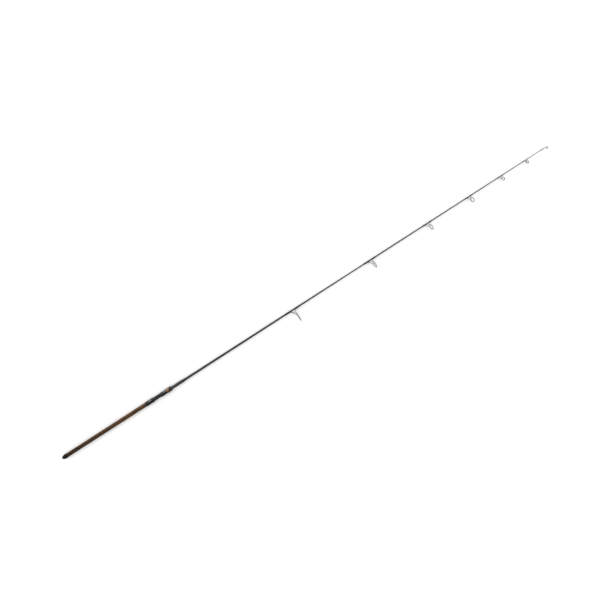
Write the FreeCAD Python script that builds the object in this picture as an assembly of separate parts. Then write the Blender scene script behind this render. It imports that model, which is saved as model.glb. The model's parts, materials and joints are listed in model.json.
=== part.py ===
import FreeCAD, Part
import math
import os
from FreeCAD import Vector

# A two-piece carp and float rod, 10 feet long, with a screw-down reel seat and seven line guides.
# Millimetres. X runs from the butt to the tip along the rod's own axis. Every piece is drawn with
# the reel and the guides on the +Z side, and the finished rod is then rolled onto its side, where
# the lock nut and the rim of the first guide touch the ground together.

# ---- driving dimensions: lengths along the rod ----
BUTT_SECTION_LENGTH = 1978.0     # butt end of the rod to the end of the male ferrule
FERRULE_OVERLAP = 88.0           # how far the tip section's sleeve goes over the male ferrule
TIP_SECTION_LENGTH = 1139.0      # sleeve mouth to the end of the blank inside the tip top
CAP_LENGTH = 34.0
REAR_GRIP_LENGTH = 478.0
TRIM_COLLAR_LENGTH = 13.0
SEAT_LENGTH = 154.0
FOREGRIP_LENGTH = 75.0
WINDING_CHECK_LENGTH = 6.5
TRIM_WHIPPING_LENGTH = 8.0
FIRST_GUIDE_FROM_BUTT = 1453.0

# ---- driving dimensions: the blanks, as (share of the section's length, outer diameter) ----
BUTT_BLANK_TAPER = [(0.0, 15.0), (0.384, 13.0), (0.536, 10.8), (0.693, 9.2), (0.86, 7.2), (1.0, 5.9)]
TIP_BLANK_TAPER = [(0.0, 7.6), (0.08, 7.4), (0.288, 6.6), (0.45, 6.0), (0.66, 5.3), (0.845, 4.2), (0.94, 3.3),
                   (1.0, 2.5)]
BUTT_WALL = 1.2
TIP_WALL = 0.8
BLANK_START = 8.0                # rubber in front of the blank's butt end
FERRULE_CLEARANCE = 0.05         # radial, between the male ferrule and the sleeve
FERRULE_STOP_GAP = 4.0           # room left in the sleeve beyond the male end

# ---- driving dimensions: handle and reel seat ----
GRIP_RADIUS = 10.9
CAP_FACE_RADIUS = 6.4
CAP_BULGE = 1.4                  # how far the cap stands out past the grip
CAP_BULGE_AT = 16.0
BARREL_RADIUS = 10.7
BARREL_WALL = 2.5
COLLAR_STEP = 1.0                # front of the trim collar, past the barrel
FOOT_FLAT_DEPTH = 1.5            # the reel foot's flat, cut into the barrel
ARBOR_LENGTH = 22.0
ARBOR_COUNT = 3
ARBOR_INSET = 5.0
FIXED_HOOD_LENGTH = 43.0
FIXED_HOOD_WALL = 1.7
HOOD_SHELL_WALL = 0.5
FIXED_BAND_LENGTH = 18.0         # polished band of the fixed hood
FIXED_BAND_INSET = 2.5           # behind the hood's mouth
HOOD_FOOT_WIDTH = 16.4           # the pocket that takes the reel foot's toe
HOOD_POCKET_DEPTH = 23.0
HOOD_ROOF = 0.55                 # what is left over the pocket
MOVING_HOOD_LENGTH = 38.0
MOVING_HOOD_REAR_WALL = 0.7      # past the plain barrel, at the mouth
MOVING_HOOD_WALL = 1.2           # past the plain barrel, under the polished shell
MOVING_HOOD_LIP_LENGTH = 17.0    # matt lip behind the polished shell
MOVING_CANOPY_WALL = 1.9         # past the plain barrel, over the reel foot
HOOD_TRAVEL = 28.0
RUNNING_CLEARANCE = 0.06         # radial, hood and nut over the thread crests
THREAD_CREST_DROP = 0.3          # crests lie this far under the plain barrel
THREAD_DEPTH = 0.55
THREAD_LEAD = 2.0
NUT_LENGTH = 17.0
NUT_WALL = 2.5                   # past the plain barrel
NUT_FLUTES = 24
NUT_FLUTE_DEPTH = 0.45
NUT_RING_LENGTH = 5.0
NUT_RING_WALL = 2.2              # past the plain barrel
FACE_GAP = 0.3                   # between flat faces that turn or part
FOREGRIP_WALL = 1.8
FOREGRIP_FLARE_LENGTH = 22.0
CHECK_LIP = 0.15                 # winding check past the foregrip
CHECK_FRONT_WALL = 0.8

# ---- driving dimensions: guides ----
# Each guide: rim diameter, ring centre above the rod's axis, then along the rod from the ring:
# where the rear foot ends, its length, where the front foot starts, its length.
GUIDE_SIZES = [
    (55.0, 48.0, 23.0, 28.0, 9.0, 26.0),
    (38.5, 34.0, 21.0, 19.0, 5.0, 19.0),
    (31.0, 29.5, 17.0, 18.0, 4.5, 16.0),
    (27.0, 25.0, 14.0, 16.0, 4.0, 14.0),
    (20.5, 19.5, 12.0, 12.0, 3.5, 11.0),
    (15.5, 15.0, 8.0, 10.5, 3.0, 9.5),
]
SECOND_GUIDE_FROM_MOUTH = 48.5
# Guides 3 to 6, as shares of the run from the second guide to the tip ring.
GUIDE_SPACING = [0.3245, 0.5605, 0.740, 0.881]
HOOP_WALL = 0.75                 # guide frame's hoop, plus a share of its size
HOOP_WALL_GROWTH = 0.011
HOOP_WIDTH = 2.2
INSERT_WALL = 0.9                # ceramic ring, plus a share of its size
INSERT_WALL_GROWTH = 0.028
INSERT_WIDTH = 3.0
INSERT_ROUND = 0.55
WIRE_RADIUS = 0.55               # guide legs, plus a share of the rim diameter
WIRE_GROWTH = 0.007
FOOT_THICKNESS = 0.85
FOOT_TOE_THICKNESS = 0.25
FOOT_HEEL_WIDTH = 1.4            # plus a share of the blank's diameter
FOOT_WIDTH_GROWTH = 0.45
FOOT_TOE_NARROWING = 0.45
WHIPPING_OVER_FOOT = 0.35        # thread and epoxy over the metal
WHIPPING_EDGE = 0.2
WHIPPING_RUN_OFF = 3.0
FERRULE_WHIPPING_LENGTH = 5.0
TIP_RIM_DIAMETER = 12.0
TIP_RING_HEIGHT = 6.2
TIP_RING_AHEAD = 10.0            # ring centre in front of the tip tube's end
TIP_RING_LEAN = 10.0             # degrees, top forward
TIP_TUBE_LENGTH = 24.0
TIP_TUBE_RADIUS = 1.8
TIP_TUBE_END_WALL = 1.2
TIP_WHIPPING_LENGTH = 9.0

# ---- places that follow from the dimensions ----
MALE_END = BUTT_SECTION_LENGTH
SLEEVE_MOUTH = MALE_END - FERRULE_OVERLAP
TIP_BLANK_END = SLEEVE_MOUTH + TIP_SECTION_LENGTH
GRIP_START = CAP_LENGTH
COLLAR_START = GRIP_START + REAR_GRIP_LENGTH
SEAT_START = COLLAR_START + TRIM_COLLAR_LENGTH
SEAT_END = SEAT_START + SEAT_LENGTH
CHECK_START = SEAT_END + FOREGRIP_LENGTH
TRIM_WHIPPING_START = CHECK_START + WINDING_CHECK_LENGTH
NUT_RING_START = SEAT_END - FACE_GAP - NUT_RING_LENGTH
NUT_START = NUT_RING_START - NUT_LENGTH
MOVING_HOOD_START = NUT_START - FACE_GAP - MOVING_HOOD_LENGTH
THREAD_START = MOVING_HOOD_START - HOOD_TRAVEL - THREAD_LEAD
CAP_RADIUS = GRIP_RADIUS + CAP_BULGE
COLLAR_FRONT_RADIUS = BARREL_RADIUS + COLLAR_STEP
SEAT_BORE_RADIUS = BARREL_RADIUS - BARREL_WALL
FOOT_FLAT_HEIGHT = BARREL_RADIUS - FOOT_FLAT_DEPTH
FIXED_HOOD_RADIUS = BARREL_RADIUS + FIXED_HOOD_WALL
MOVING_HOOD_RADIUS = BARREL_RADIUS + MOVING_HOOD_WALL
MOVING_CANOPY_RADIUS = BARREL_RADIUS + MOVING_CANOPY_WALL
NUT_RADIUS = BARREL_RADIUS + NUT_WALL
NUT_RING_RADIUS = BARREL_RADIUS + NUT_RING_WALL
CREST_RADIUS = BARREL_RADIUS - THREAD_CREST_DROP
HOOD_BORE_RADIUS = CREST_RADIUS + RUNNING_CLEARANCE
TIP_TUBE_END = TIP_BLANK_END + TIP_TUBE_END_WALL
TIP_RING_AT = TIP_TUBE_END + TIP_RING_AHEAD
SECOND_GUIDE_AT = SLEEVE_MOUTH + SECOND_GUIDE_FROM_MOUTH
GUIDE_RUN = TIP_RING_AT - SECOND_GUIDE_AT
GUIDE_STATIONS = [FIRST_GUIDE_FROM_BUTT, SECOND_GUIDE_AT]
GUIDE_STATIONS += [SECOND_GUIDE_AT + share * GUIDE_RUN for share in GUIDE_SPACING]

# The nut and the first guide's rim touch the ground together: this is the guides' rise above level.
FIRST_RIM_DIAMETER, FIRST_RING_HEIGHT = GUIDE_SIZES[0][:2]
GUIDE_RISE = math.degrees(math.asin((FIRST_RIM_DIAMETER / 2 - NUT_RADIUS) / FIRST_RING_HEIGHT))
ROLL = 90.0 - GUIDE_RISE         # turns +Z towards -Y

ORIGIN = Vector(0, 0, 0)
ALONG = Vector(1, 0, 0)
UP = Vector(0, 0, 1)


# ---- helpers ----
def turned(points):
    """A solid turned about the rod's axis from a closed outline of (x, radius) points. Its seam
    lies on the side away from the guides."""
    corners = [Vector(x, 0, -r) for x, r in points]
    return Part.Face(Part.makePolygon(corners + corners[:1])).revolve(ORIGIN, ALONG, 360)


def turned_edges(edges):
    """A solid turned about the rod's axis from the edges of a closed outline in the XZ plane."""
    return Part.Face(Part.Wire(Part.__sortEdges__(edges))).revolve(ORIGIN, ALONG, 360)


def rod(x0, x1, radius):
    """A plain round bar on the rod's axis."""
    return Part.makeCylinder(radius, x1 - x0, Vector(x0, 0, 0), ALONG)


def line(x0, r0, x1, r1):
    """A straight edge of a turned outline."""
    return Part.makeLine(Vector(x0, 0, -r0), Vector(x1, 0, -r1))


def curve(x0, r0, x1, r1, x2, r2):
    """An arc of a turned outline, through three points."""
    return Part.Arc(Vector(x0, 0, -r0), Vector(x1, 0, -r1), Vector(x2, 0, -r2)).toShape()


def between(stations, x):
    """The value at x on the broken line through the (x, value) stations."""
    for (x0, v0), (x1, v1) in zip(stations, stations[1:]):
        if x <= x1:
            return v0 + (v1 - v0) * (x - x0) / (x1 - x0)
    return stations[-1][1]


def wire_leg(start, end, radius):
    """A straight piece of round wire with ball ends."""
    leg = Part.makeCylinder(radius, (end - start).Length, start, end - start)
    return leg.fuse([Part.makeSphere(radius, start), Part.makeSphere(radius, end)])


def write(name, shape):
    """Rolls a finished piece onto its side and writes it."""
    solids = shape.Solids
    piece = solids[0] if len(solids) == 1 else Part.makeCompound(solids)
    piece = piece.copy()
    piece.rotate(ORIGIN, ALONG, ROLL)
    piece.exportStep("parts/" + name + ".step")
    print(name, len(solids), "solid(s)", round(sum(s.Volume for s in solids)), "mm3", piece.isValid())


# ---- blanks ----
BUTT_STATIONS = [(share * BUTT_SECTION_LENGTH, d / 2) for share, d in BUTT_BLANK_TAPER]
TIP_STATIONS = [(SLEEVE_MOUTH + share * TIP_SECTION_LENGTH, d / 2) for share, d in TIP_BLANK_TAPER]


def butt_radius(x):
    return between(BUTT_STATIONS, x)


def tip_radius(x):
    return between(TIP_STATIONS, x)


def envelope(radius_at, stations, x0, x1):
    """The blank between x0 and x1 as if it were solid."""
    inside = [x for x, _ in stations if x0 < x < x1]
    outline = [(x, radius_at(x)) for x in [x0] + inside + [x1]]
    return turned([(x0, 0)] + outline + [(x1, 0)])


def butt_envelope(x0=BLANK_START, x1=MALE_END):
    return envelope(butt_radius, BUTT_STATIONS, max(x0, BLANK_START), min(x1, MALE_END))


def tip_envelope(x0=SLEEVE_MOUTH, x1=TIP_BLANK_END):
    return envelope(tip_radius, TIP_STATIONS, max(x0, SLEEVE_MOUTH), min(x1, TIP_BLANK_END))


def hollow(stations, x0, x1, wall):
    """The inside of a blank: its outline less the wall, from x0 to x1."""
    xs = [x0] + [x for x, _ in stations if x0 < x < x1] + [x1]
    return [(x, between(stations, x) - wall) for x in xs]


def butt_blank():
    inside = hollow(BUTT_STATIONS, BLANK_START, MALE_END, BUTT_WALL)
    return butt_envelope().cut(turned([(BLANK_START, 0)] + inside + [(MALE_END, 0)]))


def tip_blank():
    """Tube with a sleeve bore at the rear that matches the male ferrule, solid near the tip."""
    bore_end = MALE_END + FERRULE_STOP_GAP
    bore = [(x, butt_radius(x) + FERRULE_CLEARANCE) for x in (SLEEVE_MOUTH, MALE_END)]
    bore.append((bore_end, butt_radius(MALE_END) + FERRULE_CLEARANCE))
    solid_from = SLEEVE_MOUTH + TIP_BLANK_TAPER[-3][0] * TIP_SECTION_LENGTH
    inside = hollow(TIP_STATIONS, bore_end, solid_from, TIP_WALL)
    return tip_envelope().cut(turned([(SLEEVE_MOUTH, 0)] + bore + inside + [(solid_from, 0)]))


# ---- handle ----
def butt_cap():
    """Domed rubber cap with a flat end face, a bulge and a neck that meets the grip."""
    nose = curve(0, CAP_FACE_RADIUS, 0.45 * CAP_BULGE_AT, 0.82 * CAP_RADIUS, CAP_BULGE_AT, CAP_RADIUS)
    middle = (CAP_BULGE_AT + CAP_LENGTH) / 2
    neck = curve(CAP_BULGE_AT, CAP_RADIUS, middle, (CAP_RADIUS + GRIP_RADIUS) / 2 + 0.25, CAP_LENGTH, GRIP_RADIUS)
    edges = [line(0, 0, 0, CAP_FACE_RADIUS), nose, neck, line(CAP_LENGTH, GRIP_RADIUS, CAP_LENGTH, 0),
             line(CAP_LENGTH, 0, 0, 0)]
    return turned_edges(edges).cut(butt_envelope())


def rear_grip():
    return rod(GRIP_START, COLLAR_START, GRIP_RADIUS).cut(butt_envelope())


def trim_collar():
    step = 0.25 * TRIM_COLLAR_LENGTH
    outline = [(COLLAR_START, 0), (COLLAR_START, GRIP_RADIUS), (COLLAR_START + step, GRIP_RADIUS + 0.2),
               (SEAT_START - step, COLLAR_FRONT_RADIUS), (SEAT_START, COLLAR_FRONT_RADIUS), (SEAT_START, 0)]
    return turned(outline).cut(butt_envelope())


def foregrip_radius():
    return butt_radius(SEAT_END) + FOREGRIP_WALL


def foregrip():
    """Slim grip that flares out to meet the reel seat."""
    flare_end = SEAT_END + FOREGRIP_FLARE_LENGTH
    middle = SEAT_END + 0.38 * FOREGRIP_FLARE_LENGTH
    slim = foregrip_radius()
    middle_radius = slim + 0.3 * (CREST_RADIUS - slim)
    edges = [line(SEAT_END, 0, SEAT_END, CREST_RADIUS),
             curve(SEAT_END, CREST_RADIUS, middle, middle_radius, flare_end, slim),
             line(flare_end, slim, CHECK_START, slim), line(CHECK_START, slim, CHECK_START, 0),
             line(CHECK_START, 0, SEAT_END, 0)]
    return turned_edges(edges).cut(butt_envelope())


def winding_check():
    shoulder = CHECK_START + 0.55 * WINDING_CHECK_LENGTH
    lip = foregrip_radius() + CHECK_LIP
    front = butt_radius(TRIM_WHIPPING_START) + CHECK_FRONT_WALL
    outline = [(CHECK_START, 0), (CHECK_START, lip), (shoulder, lip), (TRIM_WHIPPING_START, front),
               (TRIM_WHIPPING_START, 0)]
    return turned(outline).cut(butt_envelope())


def trim_whipping():
    x0 = TRIM_WHIPPING_START
    x1 = x0 + TRIM_WHIPPING_LENGTH
    outline = [(x0, 0), (x0, butt_radius(x0) + 0.6), (x1 - 2, butt_radius(x1) + 0.45),
               (x1, butt_radius(x1) + 0.1), (x1, 0)]
    return turned(outline).cut(butt_envelope())


# ---- reel seat ----
def foot_flat(x0, x1, height):
    """The space over the reel foot's flat, to cut from a barrel."""
    side = 4 * BARREL_RADIUS
    return Part.makeBox(x1 - x0, side, side, Vector(x0, -side / 2, height))


def seat_body():
    """Tube with a plain rear, ridges at the thread's lead in front, and a flat for the reel foot."""
    outline = [(SEAT_START, BARREL_RADIUS), (THREAD_START, BARREL_RADIUS), (THREAD_START, CREST_RADIUS)]
    root = CREST_RADIUS - THREAD_DEPTH
    for turn in range(int((SEAT_END - THREAD_START) / THREAD_LEAD) - 1):
        x = THREAD_START + (turn + 0.5) * THREAD_LEAD
        outline += [(x, CREST_RADIUS), (x + 0.3 * THREAD_LEAD, root), (x + 0.5 * THREAD_LEAD, root),
                    (x + 0.8 * THREAD_LEAD, CREST_RADIUS)]
    outline += [(SEAT_END, CREST_RADIUS), (SEAT_END, SEAT_BORE_RADIUS), (SEAT_START, SEAT_BORE_RADIUS)]
    flat_start = SEAT_START + FIXED_HOOD_LENGTH - HOOD_POCKET_DEPTH
    return turned(outline).cut(foot_flat(flat_start, SEAT_END + 1, FOOT_FLAT_HEIGHT))


def seat_arbor(number):
    """One of the bushes that centre the reel seat on the blank."""
    room = SEAT_LENGTH - 2 * ARBOR_INSET - ARBOR_LENGTH
    x0 = SEAT_START + ARBOR_INSET + number * room / (ARBOR_COUNT - 1)
    return rod(x0, x0 + ARBOR_LENGTH, SEAT_BORE_RADIUS).cut(butt_envelope())


def foot_pocket(mouth, deep_end, mouth_radius, deep_radius):
    """The wedge-shaped space under a hood that takes the toe of the reel foot."""
    cone = turned([(mouth, 0), (mouth, mouth_radius), (deep_end, deep_radius), (deep_end, 0)])
    low, high = min(mouth, deep_end), max(mouth, deep_end)
    return cone.common(Part.makeBox(high - low, HOOD_FOOT_WIDTH, 2 * mouth_radius,
                                    Vector(low, -HOOD_FOOT_WIDTH / 2, FOOT_FLAT_HEIGHT)))


def fixed_hood():
    """Moulded sleeve glued round the barrel, with a pocket for the reel foot at its front."""
    x0, x1 = SEAT_START, SEAT_START + FIXED_HOOD_LENGTH
    outline = [(x0, BARREL_RADIUS), (x0, COLLAR_FRONT_RADIUS), (x0 + 8, FIXED_HOOD_RADIUS),
               (x1 - 3, FIXED_HOOD_RADIUS), (x1, FIXED_HOOD_RADIUS - 0.3), (x1, BARREL_RADIUS)]
    roof = FIXED_HOOD_RADIUS - HOOD_ROOF
    pocket = foot_pocket(x1, x1 - HOOD_POCKET_DEPTH, roof, BARREL_RADIUS + 0.2)
    return turned(outline).cut(pocket)


def fixed_hood_shell():
    """Polished band over the pocket end of the fixed hood."""
    x1 = SEAT_START + FIXED_HOOD_LENGTH - FIXED_BAND_INSET
    x0 = x1 - FIXED_BAND_LENGTH
    outer = FIXED_HOOD_RADIUS + HOOD_SHELL_WALL
    return turned([(x0, FIXED_HOOD_RADIUS), (x0, outer - 0.2), (x0 + 1, outer), (x1 - 1, outer),
                   (x1, outer - 0.25), (x1, FIXED_HOOD_RADIUS)])


def moving_hood():
    """Moulded hood that slides on the thread crests. Its flat key stops it from turning."""
    x0, x1 = MOVING_HOOD_START, MOVING_HOOD_START + MOVING_HOOD_LENGTH
    lip_end = x0 + MOVING_HOOD_LIP_LENGTH
    body = turned([(x0, 0), (x0, BARREL_RADIUS + MOVING_HOOD_REAR_WALL), (lip_end, MOVING_HOOD_RADIUS),
                   (x1, MOVING_HOOD_RADIUS), (x1, 0)])
    canopy = turned([(x0, 0), (x0, MOVING_CANOPY_RADIUS), (lip_end, MOVING_CANOPY_RADIUS - 0.1),
                     (lip_end, 0)])
    width = HOOD_FOOT_WIDTH + 2.0
    canopy = canopy.common(Part.makeBox(MOVING_HOOD_LIP_LENGTH, width, 20, Vector(x0, -width / 2, 0)))
    key_height = FOOT_FLAT_HEIGHT + RUNNING_CLEARANCE
    bore = rod(x0 - 1, x1 + 1, HOOD_BORE_RADIUS).cut(foot_flat(x0 - 2, x1 + 2, key_height))
    roof = MOVING_CANOPY_RADIUS - HOOD_ROOF
    pocket = foot_pocket(x0, x0 + HOOD_POCKET_DEPTH, roof, CREST_RADIUS)
    return body.fuse(canopy).cut(bore).cut(pocket)


def moving_hood_shell():
    """Polished band round the front of the moving hood."""
    x0 = MOVING_HOOD_START + MOVING_HOOD_LIP_LENGTH
    x1 = MOVING_HOOD_START + MOVING_HOOD_LENGTH
    outer = MOVING_HOOD_RADIUS + HOOD_SHELL_WALL
    return turned([(x0, MOVING_HOOD_RADIUS), (x0, outer - 0.1), (x0 + 1, outer), (x1 - 1, outer),
                   (x1, outer - 0.25), (x1, MOVING_HOOD_RADIUS)])


def lock_nut():
    """Fluted nut with a smooth bore over the thread crests."""
    x0, x1 = NUT_START, NUT_START + NUT_LENGTH
    body = turned([(x0, HOOD_BORE_RADIUS), (x0, NUT_RADIUS - 0.9), (x0 + 1.5, NUT_RADIUS), (x1 - 1, NUT_RADIUS),
                   (x1, NUT_RADIUS - 0.5), (x1, HOOD_BORE_RADIUS)])
    flutes = []
    flute_radius = 0.26 * 2 * math.pi * NUT_RADIUS / NUT_FLUTES
    for number in range(NUT_FLUTES):
        angle = 2 * math.pi * number / NUT_FLUTES
        reach = NUT_RADIUS + flute_radius - NUT_FLUTE_DEPTH
        start = Vector(x0 + 3.5, reach * math.sin(angle), reach * math.cos(angle))
        flutes.append(Part.makeCylinder(flute_radius, NUT_LENGTH - 6, start, ALONG))
    return body.cut(Part.makeCompound(flutes))


def nut_end_ring():
    x0 = NUT_RING_START
    x1 = x0 + NUT_RING_LENGTH
    return turned([(x0, HOOD_BORE_RADIUS), (x0, NUT_RING_RADIUS - 0.2), (x0 + 1, NUT_RING_RADIUS),
                   (x1 - 2, NUT_RING_RADIUS - 0.2), (x1, NUT_RING_RADIUS - 1.2), (x1, HOOD_BORE_RADIUS)])


# ---- guides ----
def hoop_wall(rim_diameter):
    return HOOP_WALL + HOOP_WALL_GROWTH * rim_diameter


def insert_bore(rim_diameter):
    """Radius of the hole that the line runs through."""
    wall = INSERT_WALL + INSERT_WALL_GROWTH * rim_diameter
    return rim_diameter / 2 - hoop_wall(rim_diameter) - wall


def hoop(centre, rim_diameter):
    """The metal band round a ceramic ring, facing along the rod."""
    outer = rim_diameter / 2
    back = centre - ALONG * (HOOP_WIDTH / 2)
    band = Part.makeCylinder(outer, HOOP_WIDTH, back, ALONG)
    return band.cut(Part.makeCylinder(outer - hoop_wall(rim_diameter), HOOP_WIDTH, back, ALONG))


def insert(centre, rim_diameter):
    """Ceramic ring: a flat-sided section whose inner corners are rounded for the line."""
    outer = rim_diameter / 2 - hoop_wall(rim_diameter)
    bore = insert_bore(rim_diameter)
    half, soft = INSERT_WIDTH / 2, INSERT_ROUND
    slope = soft * (1 - math.sqrt(0.5))
    corners = [(-half, outer), (half, outer), (half, bore + soft)]
    edges = [line(*corners[0], *corners[1]), line(*corners[1], *corners[2]),
             curve(half, bore + soft, half - slope, bore + slope, half - soft, bore),
             line(half - soft, bore, soft - half, bore),
             curve(soft - half, bore, slope - half, bore + slope, -half, bore + soft),
             line(-half, bore + soft, -half, outer)]
    ring = turned_edges(edges)
    ring.translate(centre)
    return ring


def heel_width(radius_at, heel):
    return FOOT_HEEL_WIDTH + FOOT_WIDTH_GROWTH * 2 * radius_at(heel)


def foot(radius_at, toe, heel):
    """A guide foot that follows the blank, thin and narrow at its toe."""
    shell = turned([(toe, 0), (toe, radius_at(toe) + FOOT_TOE_THICKNESS),
                    (heel, radius_at(heel) + FOOT_THICKNESS), (heel, 0)])
    wide = heel_width(radius_at, heel) / 2
    narrow = wide * FOOT_TOE_NARROWING
    plan = [Vector(toe, -narrow, 0), Vector(heel, -wide, 0), Vector(heel, wide, 0), Vector(toe, narrow, 0)]
    wedge = Part.Face(Part.makePolygon(plan + plan[:1])).extrude(UP * 20)
    return shell.common(wedge)


def tangent_point(side, height, reach, foot_side, foot_height):
    """Where a line from the foot touches the circle of radius reach about the ring's centre."""
    across, down = side * foot_side, foot_height - height
    distance = math.hypot(across, down)
    angle = math.atan2(down, across) + side * math.acos(reach / distance)
    return reach * math.cos(angle), height + reach * math.sin(angle)


def whipping(radius_at, x0, x1, rises_at):
    """Thread and epoxy over a foot: a spindle that is thickest where the foot is, as a solid bar."""
    low = min(x0, x1)
    high = max(x0, x1)
    peak = radius_at(rises_at) + FOOT_THICKNESS + WHIPPING_OVER_FOOT
    far = low if rises_at > (low + high) / 2 else high
    run = 1.2 if far == low else -1.2
    far_radius = radius_at(far) + WHIPPING_EDGE + FOOT_TOE_THICKNESS
    near = low + high - far
    outline = [(far, 0), (far, radius_at(far) + WHIPPING_EDGE / 2), (far + run, far_radius),
               (near - 2 * run, peak - 0.1), (near - run, peak - 0.05), (near, radius_at(near) + WHIPPING_EDGE),
               (near, 0)]
    return turned(outline)


def guide(number, station, sizes, radius_at, blank_between):
    """Frame, ceramic ring and the two whippings of one double-foot guide."""
    rim, height, rear_end, rear_length, front_start, front_length = sizes
    wire = WIRE_RADIUS + WIRE_GROWTH * rim
    centre = Vector(station, 0, height)
    rear_heel, front_heel = station - rear_end, station + front_start
    rear_toe, front_toe = rear_heel - rear_length, front_heel + front_length
    blank = blank_between(rear_toe - 2 * WHIPPING_RUN_OFF, front_toe + 2 * WHIPPING_RUN_OFF)
    frame = hoop(centre, rim)
    reach = rim / 2 + 0.3 * wire
    foot_side = heel_width(radius_at, rear_heel) / 2 - wire
    leg_foot = radius_at(rear_heel) + 0.5 * FOOT_THICKNESS
    for side in (-1, 1):
        across, up = tangent_point(side, height, reach, foot_side, leg_foot)
        start = Vector(rear_heel - wire, side * foot_side, leg_foot)
        frame = frame.fuse(wire_leg(start, Vector(station, across, up), wire))
    start = Vector(front_heel + wire, 0, radius_at(front_heel) + 0.5 * FOOT_THICKNESS)
    frame = frame.fuse(wire_leg(start, Vector(station, 0, height - reach), 1.15 * wire))
    frame = frame.fuse([foot(radius_at, rear_toe, rear_heel), foot(radius_at, front_toe, front_heel)])
    frame = frame.cut(blank).removeSplitter()
    rear = whipping(radius_at, rear_toe - WHIPPING_RUN_OFF, rear_heel - wire, rear_heel - wire)
    front = whipping(radius_at, front_heel + wire, front_toe + WHIPPING_RUN_OFF, front_heel + wire)
    wraps = [wrap.cut(blank).cut(frame) for wrap in (rear, front)]
    name = "guide_" + str(number)
    write(name + "_frame", frame)
    write(name + "_ring", insert(centre, rim))
    write(name + "_whippings", Part.makeCompound(wraps))


def ferrule_whipping():
    """Thread band that stops the sleeve's mouth from splitting."""
    x0, x1 = SLEEVE_MOUTH + 0.5, SLEEVE_MOUTH + FERRULE_WHIPPING_LENGTH
    return turned([(x0, 0), (x0, tip_radius(x0) + 0.25), (x0 + 1, tip_radius(x0) + 0.55),
                   (x1 - 1, tip_radius(x1) + 0.55), (x1, tip_radius(x1) + 0.25), (x1, 0)]).cut(tip_envelope())


def tip_top():
    """Tube, leaning hoop and three legs, with its ceramic ring and whipping."""
    blank = tip_envelope()
    centre = Vector(TIP_RING_AT, 0, TIP_RING_HEIGHT)
    wire = WIRE_RADIUS
    tube_start = TIP_TUBE_END - TIP_TUBE_LENGTH
    tube = rod(tube_start, TIP_TUBE_END, TIP_TUBE_RADIUS)
    band = hoop(centre, TIP_RIM_DIAMETER)
    band.rotate(centre, Vector(0, 1, 0), TIP_RING_LEAN)
    frame = tube.fuse(band)
    reach = TIP_RIM_DIAMETER / 2 + 0.3 * wire
    lean = math.radians(TIP_RING_LEAN)
    for angle in (-60, 0, 60):
        across = reach * math.sin(math.radians(angle))
        down = reach * math.cos(math.radians(angle))
        end = centre + Vector(-down * math.sin(lean), across, -down * math.cos(lean))
        start = Vector(TIP_TUBE_END - 2, TIP_TUBE_RADIUS * 0.8 * math.sin(math.radians(angle)), 0.3)
        frame = frame.fuse(wire_leg(start, end, wire))
    frame = frame.cut(blank).removeSplitter()
    ring = insert(centre, TIP_RIM_DIAMETER)
    ring.rotate(centre, Vector(0, 1, 0), TIP_RING_LEAN)
    x0 = tube_start - TIP_WHIPPING_LENGTH
    x1 = tube_start + 3
    wrap = turned([(x0, 0), (x0, tip_radius(x0) + 0.1), (x0 + 1.5, tip_radius(x0) + 0.3),
                   (tube_start, TIP_TUBE_RADIUS + 0.3), (x1 - 1, TIP_TUBE_RADIUS + 0.3),
                   (x1, TIP_TUBE_RADIUS + 0.1), (x1, 0)])
    write("tip_top_frame", frame)
    write("tip_top_ring", ring)
    write("tip_whipping", wrap.cut(blank).cut(tube))


# ---- build ----
os.makedirs("parts", exist_ok=True)
write("butt_cap", butt_cap())
write("rear_grip", rear_grip())
write("trim_collar", trim_collar())
write("butt_blank", butt_blank())
for arbor in range(ARBOR_COUNT):
    write("seat_arbor_" + str(arbor + 1), seat_arbor(arbor))
write("reel_seat_body", seat_body())
write("fixed_hood", fixed_hood())
write("fixed_hood_shell", fixed_hood_shell())
write("moving_hood", moving_hood())
write("moving_hood_shell", moving_hood_shell())
write("lock_nut", lock_nut())
write("nut_end_ring", nut_end_ring())
write("foregrip", foregrip())
write("winding_check", winding_check())
write("trim_whipping", trim_whipping())
write("tip_blank", tip_blank())
write("ferrule_whipping", ferrule_whipping())
for index, (place, guide_sizes) in enumerate(zip(GUIDE_STATIONS, GUIDE_SIZES)):
    on_butt = place < SLEEVE_MOUTH
    radius_here = butt_radius if on_butt else tip_radius
    guide(index + 1, place, guide_sizes, radius_here, butt_envelope if on_butt else tip_envelope)
tip_top()
print("roll", round(ROLL, 3), "guide rise", round(GUIDE_RISE, 3), "tip ring at", round(TIP_RING_AT, 2),
      "guides at", [round(x, 2) for x in GUIDE_STATIONS])
print("ring bores", [round(insert_bore(g[0]), 3) for g in GUIDE_SIZES], round(insert_bore(TIP_RIM_DIAMETER), 3))
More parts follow.
